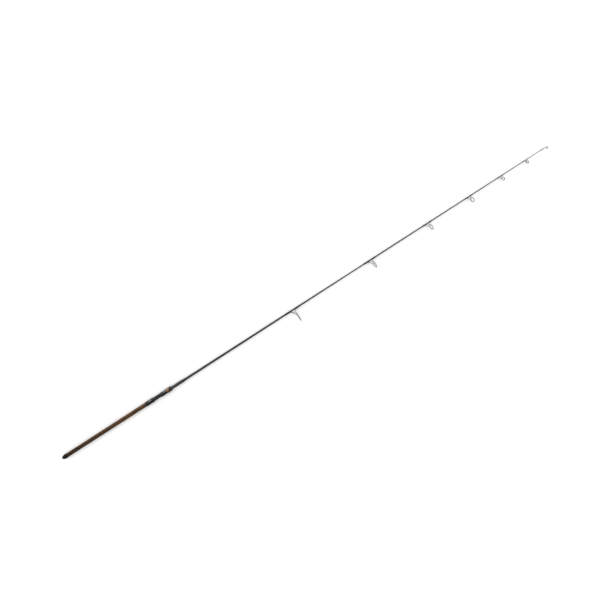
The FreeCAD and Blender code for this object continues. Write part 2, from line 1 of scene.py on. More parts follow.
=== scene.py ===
import bpy
import json
import math
import numpy as np
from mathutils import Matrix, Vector


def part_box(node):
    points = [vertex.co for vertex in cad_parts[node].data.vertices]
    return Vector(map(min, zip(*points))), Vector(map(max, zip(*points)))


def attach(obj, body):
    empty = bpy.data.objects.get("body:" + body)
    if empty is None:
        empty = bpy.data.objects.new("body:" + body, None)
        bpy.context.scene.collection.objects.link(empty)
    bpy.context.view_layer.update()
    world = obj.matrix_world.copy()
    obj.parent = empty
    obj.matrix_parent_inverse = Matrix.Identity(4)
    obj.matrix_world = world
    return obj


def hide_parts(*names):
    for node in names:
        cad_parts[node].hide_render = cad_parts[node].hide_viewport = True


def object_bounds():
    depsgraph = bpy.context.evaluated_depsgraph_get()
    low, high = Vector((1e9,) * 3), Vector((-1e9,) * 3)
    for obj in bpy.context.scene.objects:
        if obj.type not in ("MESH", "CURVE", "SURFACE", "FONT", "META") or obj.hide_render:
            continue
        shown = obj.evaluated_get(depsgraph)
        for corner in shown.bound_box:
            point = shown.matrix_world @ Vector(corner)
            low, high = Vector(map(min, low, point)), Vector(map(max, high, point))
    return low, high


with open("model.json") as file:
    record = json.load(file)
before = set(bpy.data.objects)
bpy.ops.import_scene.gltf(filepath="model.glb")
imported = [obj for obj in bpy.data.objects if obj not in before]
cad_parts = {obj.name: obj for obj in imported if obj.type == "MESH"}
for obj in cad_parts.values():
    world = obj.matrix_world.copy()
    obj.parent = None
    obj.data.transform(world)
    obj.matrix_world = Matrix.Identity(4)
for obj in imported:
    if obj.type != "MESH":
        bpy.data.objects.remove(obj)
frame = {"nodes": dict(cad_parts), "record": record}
cad_low, cad_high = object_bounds()

# ---- Blank of the butt section ----
# A long tapered tube, rolled from carbon-fibre cloth round a steel mandrel and baked. Its front end
# is the male half of the ferrule. Everything on the handle is glued to it.

MOUNTS = {mount["name"]: mount for mount in frame["record"]["mounts"]}
ALONG = np.array([1.0, 0.0, 0.0])
OUT = np.array(MOUNTS["reel_foot_seat"]["axis"])     # the way the reel and the guides face
SIDE = np.cross(OUT, ALONG)
MM = 0.001


def place(local):
    """Metres in the rod's frame, from millimetres along the rod, to its side and out towards the
    guides: along * ALONG + side * SIDE + out * OUT."""
    return MM * (local @ np.stack([ALONG, SIDE, OUT]))


def span(node):
    """Where a CAD node starts and ends along the rod, in millimetres."""
    low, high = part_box(node)
    return low.x / MM, high.x / MM


def shell(points, loop=True):
    """One closed surface from a grid of local points, (rows, columns, 3). The columns run round and
    join up. The rows join up too if loop is true; if not, the first and last row each close on the
    point at their middle. Rows that go forward on the outside give normals that point outwards."""
    rows, columns = points.shape[:2]
    index = np.arange(rows * columns).reshape(rows, columns)
    if loop:
        near, far = index, np.roll(index, -1, 0)
    else:
        near, far = index[:-1], index[1:]
    corners = [near, far, np.roll(far, -1, 1), np.roll(near, -1, 1)]
    faces = np.stack(corners, -1).reshape(-1, 4).tolist()
    vertices = points.reshape(-1, 3)
    if not loop:
        vertices = np.vstack([vertices, points[0].mean(0), points[-1].mean(0)])
        first, last = rows * columns, rows * columns + 1
        start, end = index[0], index[-1]
        faces += np.stack([np.full(columns, first), start, np.roll(start, -1)], -1).tolist()
        faces += np.stack([end, np.full(columns, last), np.roll(end, -1)], -1).tolist()
    return place(vertices), faces


def piece(name, shells, finish, body, nodes):
    """One smooth object from its closed surfaces, riding on its body and standing for its CAD
    nodes. The attribute "edge" is how far each vertex stands out from its neighbours, as a share of
    the distance to them: it is high along outside edges, where a finish wears."""
    vertices, faces, count = [], [], 0
    for points, quads in shells:
        vertices.append(points)
        faces += [[corner + count for corner in face] for face in quads]
        count += len(points)
    mesh = bpy.data.meshes.new(name)
    mesh.from_pydata(np.vstack(vertices), [], faces)
    mesh.shade_smooth()
    mesh.set_sharp_from_angle(angle=math.radians(50))
    co = np.empty(3 * count)
    mesh.vertices.foreach_get("co", co)
    normal = np.empty(3 * count)
    mesh.vertex_normals.foreach_get("vector", normal)
    ends = np.empty(2 * len(mesh.edges), int)
    mesh.edges.foreach_get("vertices", ends)
    co, normal, (a, b) = co.reshape(-1, 3), normal.reshape(-1, 3), ends.reshape(-1, 2).T
    step = co[b] - co[a]
    reach = np.linalg.norm(step, axis=1)
    lift = np.zeros((count, 3))
    total = np.full(count, 1e-9)
    for here, way in ((a, 1), (b, -1)):
        for k in range(3):
            lift[:, k] += np.bincount(here, way * step[:, k], count)
        total += np.bincount(here, reach, count)
    edge = mesh.attributes.new("edge", "FLOAT", "POINT")
    edge.data.foreach_set("value", (-(lift * normal).sum(1) / total).astype(np.float32))
    made = bpy.data.objects.new(name, mesh)
    bpy.context.scene.collection.objects.link(made)
    mesh.materials.append(finish)
    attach(made, body)
    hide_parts(*nodes)
    return made


def around(columns):
    """Angles round the rod, from the guides' side."""
    return np.linspace(0, 2 * math.pi, columns, endpoint=False)


def ringed(x, radius, angle):
    """Local points (x, radius * sin(angle), radius * cos(angle)) over whole arrays."""
    x, radius, angle = np.broadcast_arrays(x, radius, angle)
    return np.stack([x, radius * np.sin(angle), radius * np.cos(angle)], -1)


def turned(outline, columns=96, loop=True):
    """A surface turned about the rod's axis: each (x, radius) of the outline becomes a circle."""
    x, radius = np.asarray(outline, float).T
    return shell(ringed(x[:, None], radius[:, None], around(columns)), loop)


def rounded(corners, radius, closed=True, steps=5):
    """An outline or path whose corners are softened. Each corner is swapped for a quadratic curve
    that leaves one side and joins the next at radius / tan(half the corner's angle) away from the
    corner, or 45% along the shorter side if that is nearer. An open one keeps its two ends."""
    corners = np.asarray(corners, float)
    back, on = np.roll(corners, 1, 0) - corners, np.roll(corners, -1, 0) - corners
    back_length, on_length = np.linalg.norm(back, axis=1), np.linalg.norm(on, axis=1)
    u, v = back / back_length[:, None], on / on_length[:, None]
    half = np.maximum(0.5 * np.arccos(np.clip((u * v).sum(1), -1, 1)), 0.05)
    take = np.minimum(np.maximum(radius, 0.01) / np.tan(np.minimum(half, 1.5)),
                      0.45 * np.minimum(back_length, on_length))[:, None]
    t = np.linspace(0, 1, steps)[None, :, None]
    soft = ((1 - t) ** 2 * (corners + u * take)[:, None] + 2 * t * (1 - t) * corners[:, None]
            + t ** 2 * (corners + v * take)[:, None])
    if closed:
        return soft.reshape(-1, corners.shape[1])
    return np.vstack([corners[:1], soft[1:-1].reshape(-1, corners.shape[1]), corners[-1:]])


def spread(points, step):
    """The same open line with points added, so that no two neighbours are further apart than step.
    Points nearer than a fiftieth of a step to the one before are dropped."""
    far = np.concatenate([[0], np.cumsum(np.linalg.norm(np.diff(points, axis=0), axis=1))])
    wanted = np.union1d(far, np.linspace(0, far[-1], max(2, math.ceil(far[-1] / step) + 1)))
    keep = np.concatenate([[True], np.diff(wanted) > 0.02 * step])
    wanted = wanted[keep]
    return np.stack([np.interp(wanted, far, column) for column in np.transpose(points)], -1)


BUTT_START, MALE_END = span("butt_blank")
BUTT_TAPER = MALE_END * np.array([0.0, 0.384, 0.536, 0.693, 0.86, 1.0])
BUTT_RADII = np.array([15.0, 13.0, 10.8, 9.2, 7.2, 5.9]) / 2
BUTT_WALL = 1.2


def butt_radius(x):
    """The blank's radius: straight tapers between its stations."""
    return np.interp(x, BUTT_TAPER, BUTT_RADII)


# Shared effects. Each is a node group that puts out a value over the surface.

def add(tree, kind, inputs=(), **settings):
    """A node: settings are its own properties, and each input is a constant or another socket."""
    made = tree.nodes.new(kind)
    for key, value in settings.items():
        setattr(made, key, value)
    for key, value in dict(inputs).items():
        if isinstance(value, bpy.types.NodeSocket):
            tree.links.new(value, made.inputs[key])
        else:
            made.inputs[key].default_value = value
    return made


def maths(tree, operation, *values):
    """The output of one Math node."""
    return add(tree, "ShaderNodeMath", dict(enumerate(values)), operation=operation).outputs[0]


def times(tree, a, b):
    return maths(tree, "MULTIPLY", a, b)


def fade(tree, value, low, high, to_low=0.0, to_high=1.0, smooth=False):
    """A value mapped from the range low..high to the range to_low..to_high, and held there."""
    kind = "SMOOTHSTEP" if smooth else "LINEAR"
    limits = {0: value, 1: low, 2: high, 3: to_low, 4: to_high}
    return add(tree, "ShaderNodeMapRange", limits, interpolation_type=kind).outputs[0]


def blend_colour(tree, share, a, b):
    """Colour a where share is 0 and colour b where it is 1."""
    colours = {0: share, 6: a if isinstance(a, bpy.types.NodeSocket) else (*a, 1),
               7: b if isinstance(b, bpy.types.NodeSocket) else (*b, 1)}
    return add(tree, "ShaderNodeMix", colours, data_type="RGBA").outputs[2]


def object_point(tree):
    return add(tree, "ShaderNodeTexCoord").outputs["Object"]


def stretched(tree, along):
    """The same point with its place along the rod scaled, so that a pattern is drawn out lengthwise."""
    inputs = {"Vector": object_point(tree), "Scale": (along, 1.0, 1.0)}
    return add(tree, "ShaderNodeMapping", inputs).outputs[0]


def noise(tree, scale, detail=3.0, rough=0.55, point=None):
    """Cloudy noise of 0..1, with scale lumps to the metre."""
    inputs = {"Vector": point or object_point(tree), "Scale": scale, "Detail": detail, "Roughness": rough}
    return add(tree, "ShaderNodeTexNoise", inputs).outputs["Fac"]


def edge_of(tree):
    """The attribute that piece() leaves: high along outside edges, below 0 in hollows."""
    return add(tree, "ShaderNodeAttribute", attribute_name="edge").outputs["Fac"]


def effect(name, inputs, output):
    """An empty node group with float inputs and one float output; gives the tree and its inputs."""
    tree = bpy.data.node_groups.new(name, "ShaderNodeTree")
    for key, value in inputs.items():
        socket = tree.interface.new_socket(key, in_out="INPUT", socket_type="NodeSocketFloat")
        socket.default_value = value
    tree.interface.new_socket(output, in_out="OUTPUT", socket_type="NodeSocketFloat")
    return tree, add(tree, "NodeGroupInput").outputs


def give(tree, value):
    """Wires a value to the group's output."""
    add(tree, "NodeGroupOutput", {0: value})


# Cells or grain of a moulded or foamed surface.
grain_tree, grain_in = effect("fine_grain", {"Scale": 1500.0, "Lumps": 60.0}, "Height")
give(grain_tree, maths(grain_tree, "ADD",
                       times(grain_tree, noise(grain_tree, grain_in["Scale"], 2.0), 0.75),
                       times(grain_tree, noise(grain_tree, grain_in["Lumps"], 2.0), 0.25)))

# Bare or rubbed finish along outside edges, broken up by noise.
wear_tree, wear_in = effect("worn_edges", {"Start": 0.06, "Full": 0.16, "Patches": 420.0}, "Mask")
give(wear_tree, maths(wear_tree, "MULTIPLY",
                      fade(wear_tree, edge_of(wear_tree), wear_in["Start"], wear_in["Full"]),
                      fade(wear_tree, noise(wear_tree, wear_in["Patches"], 4.0), 0.38, 0.62)))

# Smears and thumb marks that change only how sharply a surface shines.
smear_tree, smear_in = effect("smears", {"Scale": 45.0, "Low": 0.3, "High": 0.45}, "Roughness")
smear_cloud = noise(smear_tree, smear_in["Scale"], 4.0, 0.6, stretched(smear_tree, 0.35))
give(smear_tree, fade(smear_tree, smear_cloud, 0.35, 0.65, smear_in["Low"], smear_in["High"]))

# A tape or thread wound round the rod: 0 at each joint between turns, 1 in the middle of a turn.
wound_tree, wound_in = effect("wound", {"Turns_per_metre": 400.0, "Hand": 1.0}, "Height")
wound_at = add(wound_tree, "ShaderNodeSeparateXYZ", {0: object_point(wound_tree)}).outputs
wound_angle = maths(wound_tree, "MULTIPLY",
                    maths(wound_tree, "ARCTAN2", wound_at["Y"], wound_at["Z"]),
                    maths(wound_tree, "DIVIDE", wound_in["Hand"], 2 * math.pi))
wound_phase = maths(wound_tree, "ADD", wound_angle,
                    times(wound_tree, wound_at["X"], wound_in["Turns_per_metre"]))
give(wound_tree, maths(wound_tree, "PINGPONG", times(wound_tree, wound_phase, 2.0), 1.0))


def placed(tree, group, **inputs):
    """The output of a shared effect, with this material's own values."""
    made = add(tree, "ShaderNodeGroup", node_tree=group)
    for key, value in inputs.items():
        if isinstance(value, bpy.types.NodeSocket):
            tree.links.new(value, made.inputs[key])
        else:
            made.inputs[key].default_value = value
    return made.outputs[0]


def material(name, **constants):
    """A new material: gives it, its tree and its shader, with constants on the shader's sockets."""
    made = bpy.data.materials.new(name)
    made.use_nodes = True
    shader = made.node_tree.nodes["Principled BSDF"]
    for key, value in constants.items():
        socket = shader.inputs[key.replace("_", " ")]
        socket.default_value = (*value, 1) if isinstance(value, tuple) else value
    return made, made.node_tree, shader


def feed(tree, shader, **sources):
    """Links values to the shader's sockets."""
    for key, value in sources.items():
        tree.links.new(value, shader.inputs[key.replace("_", " ")])


def relief(tree, height, millimetres, strength):
    """A normal from a height of 0..1 that stands for that many millimetres."""
    inputs = {"Strength": strength, "Distance": millimetres * MM, "Height": height}
    return add(tree, "ShaderNodeBump", inputs).outputs[0]


def surface(tree, shader, pattern, dark, light, worn=None, rough=None, bump=None):
    """Dresses a material. The colour goes from dark to light over a pattern of 0..1. worn gives
    where wear along the edges starts and is full, its patches to the metre, its strength and the
    colour under it. rough gives the scale of smears, or a pattern, and the roughness at its low and
    high end. bump gives a height, its millimetres and its strength."""
    colour = blend_colour(tree, pattern, dark, light)
    if worn:
        start, full, patches, strength, bare = worn
        rubbed = placed(tree, wear_tree, Start=start, Full=full, Patches=patches)
        colour = blend_colour(tree, times(tree, rubbed, strength), colour, bare)
    feed(tree, shader, Base_Color=colour)
    if rough:
        source, low, high = rough
        patterned = isinstance(source, bpy.types.NodeSocket)
        feed(tree, shader, Roughness=fade(tree, source, 0.3, 0.7, low, high) if patterned
             else placed(tree, smear_tree, Scale=source, Low=low, High=high))
    if bump:
        feed(tree, shader, Normal=relief(tree, *bump))


CARBON_DARK, CARBON_LIGHT = (0.006, 0.006, 0.0066), (0.016, 0.0162, 0.0175)
carbon, tree, shader = material("carbon_ground_satin", Specular_IOR_Level=0.3, Coat_Roughness=0.2,
                                Coat_Weight=0.25)
TAPE_WIDTH = 3.2
tape_joint = fade(tree, placed(tree, wound_tree, Turns_per_metre=1 / (TAPE_WIDTH * MM), Hand=1.0), 0.0, 0.14)
fibre = noise(tree, 1800.0, 3.0, 0.6, stretched(tree, 0.06))
tone = times(tree, fade(tree, fibre, 0.3, 0.7), fade(tree, tape_joint, 0.0, 1.0, 0.55, 1.0))
surface(tree, shader, tone, CARBON_DARK, CARBON_LIGHT, rough=(30.0, 0.28, 0.42), bump=(tape_joint, 0.02, 0.6))


def tube_end(x, radius, wall, forward):
    """Outline points that round off the end of a tube, from the outside in, or the reverse."""
    way = 1 if forward else -1
    turn = np.linspace(0, math.pi, 9)
    half = wall / 2
    ring = np.stack([x - way * half * (1 - np.sin(turn)), radius - half + half * np.cos(turn)], -1)
    return ring if forward else ring[::-1]


rear_face = tube_end(BUTT_START, butt_radius(BUTT_START), BUTT_WALL, False)
male_face = tube_end(MALE_END, butt_radius(MALE_END), BUTT_WALL, True)
x = np.linspace(BUTT_START + 2, MALE_END - 2, 280)
outside = np.stack([x, butt_radius(x)], -1)
inside = np.stack([BUTT_TAPER[-2:0:-1], butt_radius(BUTT_TAPER[-2:0:-1]) - BUTT_WALL], -1)
piece("butt_section_blank", [turned(np.vstack([rear_face, outside, male_face, inside]), 64)],
      carbon, "butt_section", ["butt_blank"])

# ---- Butt cap ----
# A soft black rubber plug pushed over the end of the blank. It is moulded with a dished flat face
# that the rod stands on, a fat bulge, and three finger rings towards the grip.

CAP_FACE_RADIUS = 6.4
CAP_BULGE_RADIUS, CAP_BULGE_AT = 12.3, 16.0
GRIP_RADIUS = 10.9
CAP_RINGS_AT = [23.0, 26.0, 29.0]
CAP_RING_DEPTH, CAP_RING_WIDTH = 0.4, 0.5
cap_start, cap_end = span("butt_cap")


def cap_radius(x):
    """The nose rises as 1 - (1 - share) squared, to the power 1.3, and the neck falls as a cosine,
    less a rounded groove at each ring."""
    nose = np.clip(x / CAP_BULGE_AT, 0, 1)
    neck = np.clip((x - CAP_BULGE_AT) / (cap_end - CAP_BULGE_AT), 0, 1)
    rise = CAP_FACE_RADIUS + (CAP_BULGE_RADIUS - CAP_FACE_RADIUS) * (1 - (1 - nose) ** 2) ** 1.3
    fall = (CAP_BULGE_RADIUS - GRIP_RADIUS) * (0.5 - 0.5 * np.cos(math.pi * neck))
    grooves = sum(np.exp(-((x - at) / CAP_RING_WIDTH) ** 2) for at in CAP_RINGS_AT)
    return rise - fall - CAP_RING_DEPTH * grooves


face = [(0.9, 0.4), (0.9, 4.0), (cap_start, 4.9), (cap_start, 6.2), (0.4, cap_radius(0.4))]
face = rounded(face, 0.5, False)
x = np.arange(0.7, cap_end - 0.3, 0.25)
cap_profile = np.vstack([face, np.stack([x, cap_radius(x)], -1),
                         rounded([(cap_end - 0.3, GRIP_RADIUS), (cap_end, GRIP_RADIUS - 0.3), (cap_end, 7.5),
                                  (BUTT_START, 7.5), (BUTT_START, 0.5)], 0.1, False, 3)])
rubber, tree, shader = material("cap_rubber_matt", Specular_IOR_Level=0.12)
skin = placed(tree, grain_tree, Scale=2600.0, Lumps=140.0)
surface(tree, shader, skin, (0.005, 0.0045, 0.004), (0.013, 0.011, 0.009),
        worn=(0.015, 0.1, 900.0, 0.6, (0.06, 0.057, 0.052)), rough=(skin, 0.62, 0.8), bump=(skin, 0.12, 0.6))
piece("butt_cap_rubber", [turned(cap_profile, 96, False)], rubber, "butt_section", ["butt_cap"])

# ---- Rear grip ----
# Thick rings of burl cork, pressed from granules, glued end to end, turned in a lathe and sealed.
# The glue joints show as fine grooves, and granules that tore out in turning leave small pits.

grip_start, grip_end = span("rear_grip")
CORK_RINGS = 38
ring_length = (grip_end - grip_start) / CORK_RINGS
# Rows along one ring of cork, as if it were 12.58 mm long: close together at the joint.
IN_RING = np.array([0.0, 0.16, 0.36, 0.7, 1.6, 2.7, 3.8, 4.9, 6.0, 7.1, 8.2, 9.3, 10.4, 11.4, 12.0, 12.34])
IN_RING_WHOLE = 12.58
PITS = 340
GRIP_COLUMNS = 96

draw = np.random.default_rng(41)
x = grip_start + (ring_length * np.arange(CORK_RINGS)[:, None] + IN_RING * ring_length / IN_RING_WHOLE).ravel()
x = np.append(x, grip_end)
from_joint = np.abs((x - grip_start + ring_length / 2) % ring_length - ring_length / 2)
# Each ring sands down a little differently, and each joint is a shallow groove.
sanding = draw.uniform(-0.05, 0.03, CORK_RINGS + 1)[((x - grip_start) // ring_length).astype(int)]
core = GRIP_RADIUS - 0.05 + 0.5 * sanding - 0.13 * np.exp(-(from_joint / 0.2) ** 2)
angle = around(GRIP_COLUMNS)
pit_x = draw.uniform(grip_start + 1, grip_end - 1, PITS)
pit_angle = draw.uniform(0, 2 * math.pi, PITS)
pit_size = draw.uniform(0.45, 1.25, PITS)
pit_depth = draw.uniform(0.08, 0.34, PITS)
pit_long = draw.uniform(0.6, 1.6, PITS)
# A pit is a bell-shaped dent: depth * exp(-(distance / size) squared), longer one way than the other.
across = (angle[None, :, None] - pit_angle + math.pi) % (2 * math.pi) - math.pi
lengthwise = (x[:, None, None] - pit_x) / (pit_size * pit_long)
bell = np.exp(-lengthwise ** 2 - (across * GRIP_RADIUS / pit_size) ** 2)
dent = (pit_depth * bell).sum(-1)
rind = core[:, None] - dent
x_closed = np.concatenate([[grip_start], x, [grip_end]])
rind = np.vstack([np.full(GRIP_COLUMNS, 7.4), rind, np.full(GRIP_COLUMNS, 6.85)])

cork, tree, shader = material("burl_cork_sealed", Specular_IOR_Level=0.1, Coat_Roughness=0.3)
point = object_point(tree)
along = add(tree, "ShaderNodeSeparateXYZ", {0: point}).outputs[0]
ring_x = maths(tree, "DIVIDE", maths(tree, "SUBTRACT", along, grip_start * MM), ring_length * MM)
ring_number = maths(tree, "FLOOR", ring_x)
ring_tone = add(tree, "ShaderNodeTexWhiteNoise", {1: ring_number}, noise_dimensions="1D").outputs["Value"]
# Every ring is cut from its own slab, so the pattern jumps at each joint.
shift = add(tree, "ShaderNodeCombineXYZ", {1: times(tree, ring_number, 0.37),
                                           2: times(tree, ring_number, 0.11)}).outputs[0]
cork_point = add(tree, "ShaderNodeVectorMath", {0: point, 1: shift}, operation="ADD").outputs[0]
# The granules are pressed, so their outlines are bent and smeared into each other.
swirl = add(tree, "ShaderNodeTexNoise", {"Vector": cork_point, "Scale": 210.0, "Detail": 3.0}).outputs["Color"]
pressed = add(tree, "ShaderNodeVectorMath", {0: swirl, 1: (0.004, 0.004, 0.004), 2: cork_point},
              operation="MULTIPLY_ADD").outputs[0]


def granules(scale, softness):
    """Three tones for each granule, the same over all of it, with scale granules to the metre."""
    inputs = {"Vector": pressed, "Scale": scale, "Smoothness": softness}
    cells = add(tree, "ShaderNodeTexVoronoi", inputs, feature="SMOOTH_F1").outputs["Color"]
    return add(tree, "ShaderNodeSeparateColor", {0: cells}).outputs


large_tone, small_tone = granules(330.0, 0.25), granules(1150.0, 0.2)
crumbs = add(tree, "ShaderNodeTexVoronoi", {"Vector": pressed, "Scale": 1250.0}, feature="DISTANCE_TO_EDGE")
clouds = noise(tree, 34.0, 3.0, 0.6, cork_point)
CORK_DEEP, CORK_MID, CORK_TAN = (0.030, 0.0140, 0.0045), (0.078, 0.0365, 0.0115), (0.150, 0.078, 0.027)
CORK_RED, CORK_BARK_AND_PIT_SHADE = (0.105, 0.038, 0.012), (0.010, 0.0055, 0.003)
mixed = maths(tree, "ADD", times(tree, large_tone[0], 0.6), times(tree, small_tone[0], 0.4))
colour = blend_colour(tree, fade(tree, mixed, 0.2, 0.75), CORK_DEEP, CORK_MID)
colour = blend_colour(tree, fade(tree, small_tone[1], 0.5, 1.0, 0.0, 0.75), colour, CORK_TAN)
colour = blend_colour(tree, fade(tree, large_tone[2], 0.6, 0.85, 0.0, 0.6), colour, CORK_RED)
colour = blend_colour(tree, fade(tree, clouds, 0.50, 0.36, 0.0, 0.7), colour, CORK_DEEP)
bark = fade(tree, noise(tree, 620.0, 4.0, 0.7, pressed), 0.62, 0.7)
colour = blend_colour(tree, times(tree, bark, 0.8), colour, CORK_BARK_AND_PIT_SHADE)
off_middle = maths(tree, "SUBTRACT", maths(tree, "FRACT", ring_x), 0.5)
seam = fade(tree, maths(tree, "ABSOLUTE", off_middle), 0.485, 0.497)
colour = blend_colour(tree, times(tree, seam, 0.5), colour, CORK_BARK_AND_PIT_SHADE)
# Darker and browner towards the butt.
butt_to_seat_tone = fade(tree, ring_x, 0.0, 24.0, 0.36, 1.0)
shade = times(tree, butt_to_seat_tone, fade(tree, ring_tone, 0.0, 1.0, 0.78, 1.18))
colour = add(tree, "ShaderNodeVectorMath", {0: colour, 3: shade}, operation="SCALE").outputs[0]
crevice = fade(tree, crumbs.outputs["Distance"], 0.0, 0.12)
# Painted shade: the pits and the shallow grooves at the joints, where the attribute edge falls below 0, are
# darkened towards the bark colour.
colour = blend_colour(tree, fade(tree, edge_of(tree), -0.02, -0.12), colour, CORK_BARK_AND_PIT_SHADE)
feed(tree, shader, Base_Color=colour, Roughness=placed(tree, smear_tree, Scale=60.0, Low=0.36, High=0.6),
     Normal=relief(tree, crevice, 0.05, 0.5), Coat_Weight=fade(tree, clouds, 0.3, 0.7, 0.0, 0.12))
piece("rear_grip_cork", [shell(ringed(x_closed[:, None], rind, angle))], cork, "butt_section",
      ["rear_grip"])

# ---- Trim collar ----
# An aluminium ring turned from bar and anodised dark maroon. It hides the joint between the cork
# and the reel seat, and is glued against both.

COLLAR_REAR_RADIUS, COLLAR_FRONT_RADIUS = 10.9, 11.7
COLLAR_BORE, GROOVE_RADIUS = 6.6, 10.95
LAND = 3.2                       # the plain stretch at either end
collar_start, collar_end = span("trim_collar")
groove = collar_start + 6.5
collar = [(collar_start, COLLAR_BORE + 0.25), (collar_start, COLLAR_REAR_RADIUS),
          (collar_start + LAND, COLLAR_REAR_RADIUS + 0.15), (groove - 0.9, 11.3), (groove - 0.4, GROOVE_RADIUS),
          (groove + 0.4, GROOVE_RADIUS), (groove + 0.9, 11.45), (collar_end - LAND, COLLAR_FRONT_RADIUS),
          (collar_end, COLLAR_FRONT_RADIUS), (collar_end, COLLAR_BORE)]
maroon, tree, shader = material("maroon_anodised", Metallic=0.9, Specular_IOR_Level=0.5)
turning = placed(tree, wound_tree, Turns_per_metre=6500.0, Hand=1.0)
surface(tree, shader, noise(tree, 260.0), (0.070, 0.034, 0.024), (0.125, 0.062, 0.044),
        worn=(0.05, 0.15, 700.0, 0.5, (0.36, 0.27, 0.24)), rough=(120.0, 0.3, 0.42),
        bump=(turning, 0.006, 0.5))
piece("trim_collar_ring", [turned(spread(rounded(collar, 0.3), 0.5))], maroon,
      "butt_section", ["trim_collar"])

# ---- Seat arbors ----
# Three bushes of wound fibre tape that centre the reel seat on the thinner blank. They are soaked
# in epoxy and stay out of sight inside the seat.

fibre_tape, tree, shader = material("arbor_fibre_tape", Roughness=0.8, Specular_IOR_Level=0.3)
weave = placed(tree, wound_tree, Turns_per_metre=900.0, Hand=-1.0)
surface(tree, shader, times(tree, weave, noise(tree, 700.0)), (0.30, 0.22, 0.12), (0.62, 0.52, 0.36),
        bump=(weave, 0.1, 0.6))
for number in (1, 2, 3):
    arbor = frame["nodes"]["seat_arbor_" + str(number)]
    arbor.data.materials.clear()
    arbor.data.materials.append(fibre_tape)

# ---- Reel seat body ----
# A tube moulded in matt black glass-filled nylon. A flat along its guide side takes the reel's foot,
# and a coarse rounded thread in front carries the lock nut.

BARREL_RADIUS, SEAT_BORE = 10.7, 8.2
CREST_RADIUS, THREAD_DEPTH, THREAD_LEAD = 10.4, 0.55, 2.0
FLAT_HEIGHT, FLAT_FROM_BACK = 9.2, 20.0
HOOD_TRAVEL = 28.0
seat_start, seat_end = span("reel_seat_body")
thread_start = span("moving_hood")[0] - HOOD_TRAVEL - THREAD_LEAD
flat_start = seat_start + FLAT_FROM_BACK


def angles(degrees, near=0.8, wide=4.0, band=6.0):
    """Angles round the rod, wide apart but close together near plus and minus the given ones."""
    base = np.arange(-180, 180, wide)
    fine = [sign * d + np.arange(-band, band + 0.01, near) for d in degrees for sign in (-1, 1)]
    fine = np.unique(np.round(np.concatenate(fine), 3))
    base = base[np.abs(base[:, None] - fine).min(1) > 0.6 * wide]
    every = np.unique(np.concatenate([base, fine]))
    return np.radians(every[np.concatenate([[True], np.diff(every) > 0.3 * near])])


def flat_limit(angle, height):
    """How far from the axis a flat at that height lets the surface reach: height / cos(angle)."""
    facing = np.cos(angle)
    return np.where(facing > 0.2, height / np.maximum(facing, 0.2), 99.0)


def fillet(x, start, end, radius):
    """How much a rounded edge takes off at distance d from either end: r - sqrt(r2 - (r - d)2)."""
    d = np.clip(np.minimum(x - start, end - x), 0, radius)
    return radius - np.sqrt(radius ** 2 - (radius - d) ** 2)


def rows(start, end, step, radius):
    """Places along a piece: close together on its rounded ends, step apart between them."""
    soft = radius * (1 - np.cos(np.linspace(0, math.pi / 2, 5)))
    between = np.linspace(start + radius, end - radius, max(2, int((end - start) / step)))[1:-1]
    return np.concatenate([start + soft, between, end - soft[::-1]])


def lined(x, outer, x_in, inner, angle):
    """One closed wall: the outer radii forward along x, then the inner ones back along x_in."""
    return shell(np.vstack([ringed(x, outer, angle), ringed(x_in, inner, angle)]))


seat_angle = angles([21.0, 29.0], 1.0, 3.75, 5.0)
x = np.concatenate([rows(seat_start, flat_start, 1.2, 0.2)[:-5], [flat_start - 0.15, flat_start + 0.15],
                    np.arange(flat_start + 1.2, thread_start, 1.2),
                    np.arange(thread_start, seat_end - 0.1, 0.2), [seat_end]])[:, None]
# The thread's wave is a cosine of the turn count, cut off flat at its crest and root.
wave = np.cos(2 * math.pi * (x - thread_start) / THREAD_LEAD - seat_angle)
started = np.clip((x - thread_start) / THREAD_LEAD, 0, 1)
thread = CREST_RADIUS - THREAD_DEPTH * np.clip(0.5 + 0.68 * wave, 0, 1) * started
seat_wall = np.where(x < thread_start, BARREL_RADIUS, thread) - fillet(x, seat_start, seat_end, 0.2)
seat_wall = np.where(x > flat_start, np.minimum(seat_wall, flat_limit(seat_angle, FLAT_HEIGHT)), seat_wall)
bore_x = np.array([seat_end, seat_start])[:, None]

# Fine spark-eroded grain, and edges rubbed a little paler.
seat_nylon, tree, shader = material("seat_nylon_matt", Specular_IOR_Level=0.28)
skin = placed(tree, grain_tree, Scale=2200.0, Lumps=90.0)
surface(tree, shader, skin, (0.007, 0.007, 0.0073), (0.017, 0.017, 0.0175),
        worn=(0.05, 0.15, 500.0, 0.45, (0.07, 0.07, 0.072)), rough=(70.0, 0.42, 0.55),
        bump=(skin, 0.05, 0.45))
piece("reel_seat_barrel", [lined(x, seat_wall, bore_x, SEAT_BORE, seat_angle)], seat_nylon,
      "butt_section", ["reel_seat_body"])

# ---- Fixed hood ----
# A moulded sleeve glued round the back of the barrel. Its front end stands clear of the flat and
# makes a pocket for the toe of the reel's foot. A thin polished band is pressed on over the pocket.

FIXED_HOOD_RADIUS, COLLAR_END_RADIUS = 12.4, 11.7
POCKET_HALF_WIDTH, POCKET_DEPTH = 8.2, 23.0
ROOF = 0.55
TURNED_LINES_AT = np.array([9.0, 11.0, 13.0])
LINE_DEPTH, LINE_WIDTH = 0.22, 0.35


def pocket_limit(angle, roof, half_width):
    """The pocket's inside: the roof's radius over it, cut off by two straight side walls at
    half_width, so half_width / |sin(angle)|. It is on the guides' side only."""
    walls = half_width / np.maximum(np.abs(np.sin(angle)), 1e-3)
    return np.where(np.cos(angle) > 0, np.minimum(roof, walls), 0)


def softer(a, b, softness):
    """The larger of two radii, with the corner between them rounded off."""
    return np.logaddexp(a / softness, b / softness) * softness


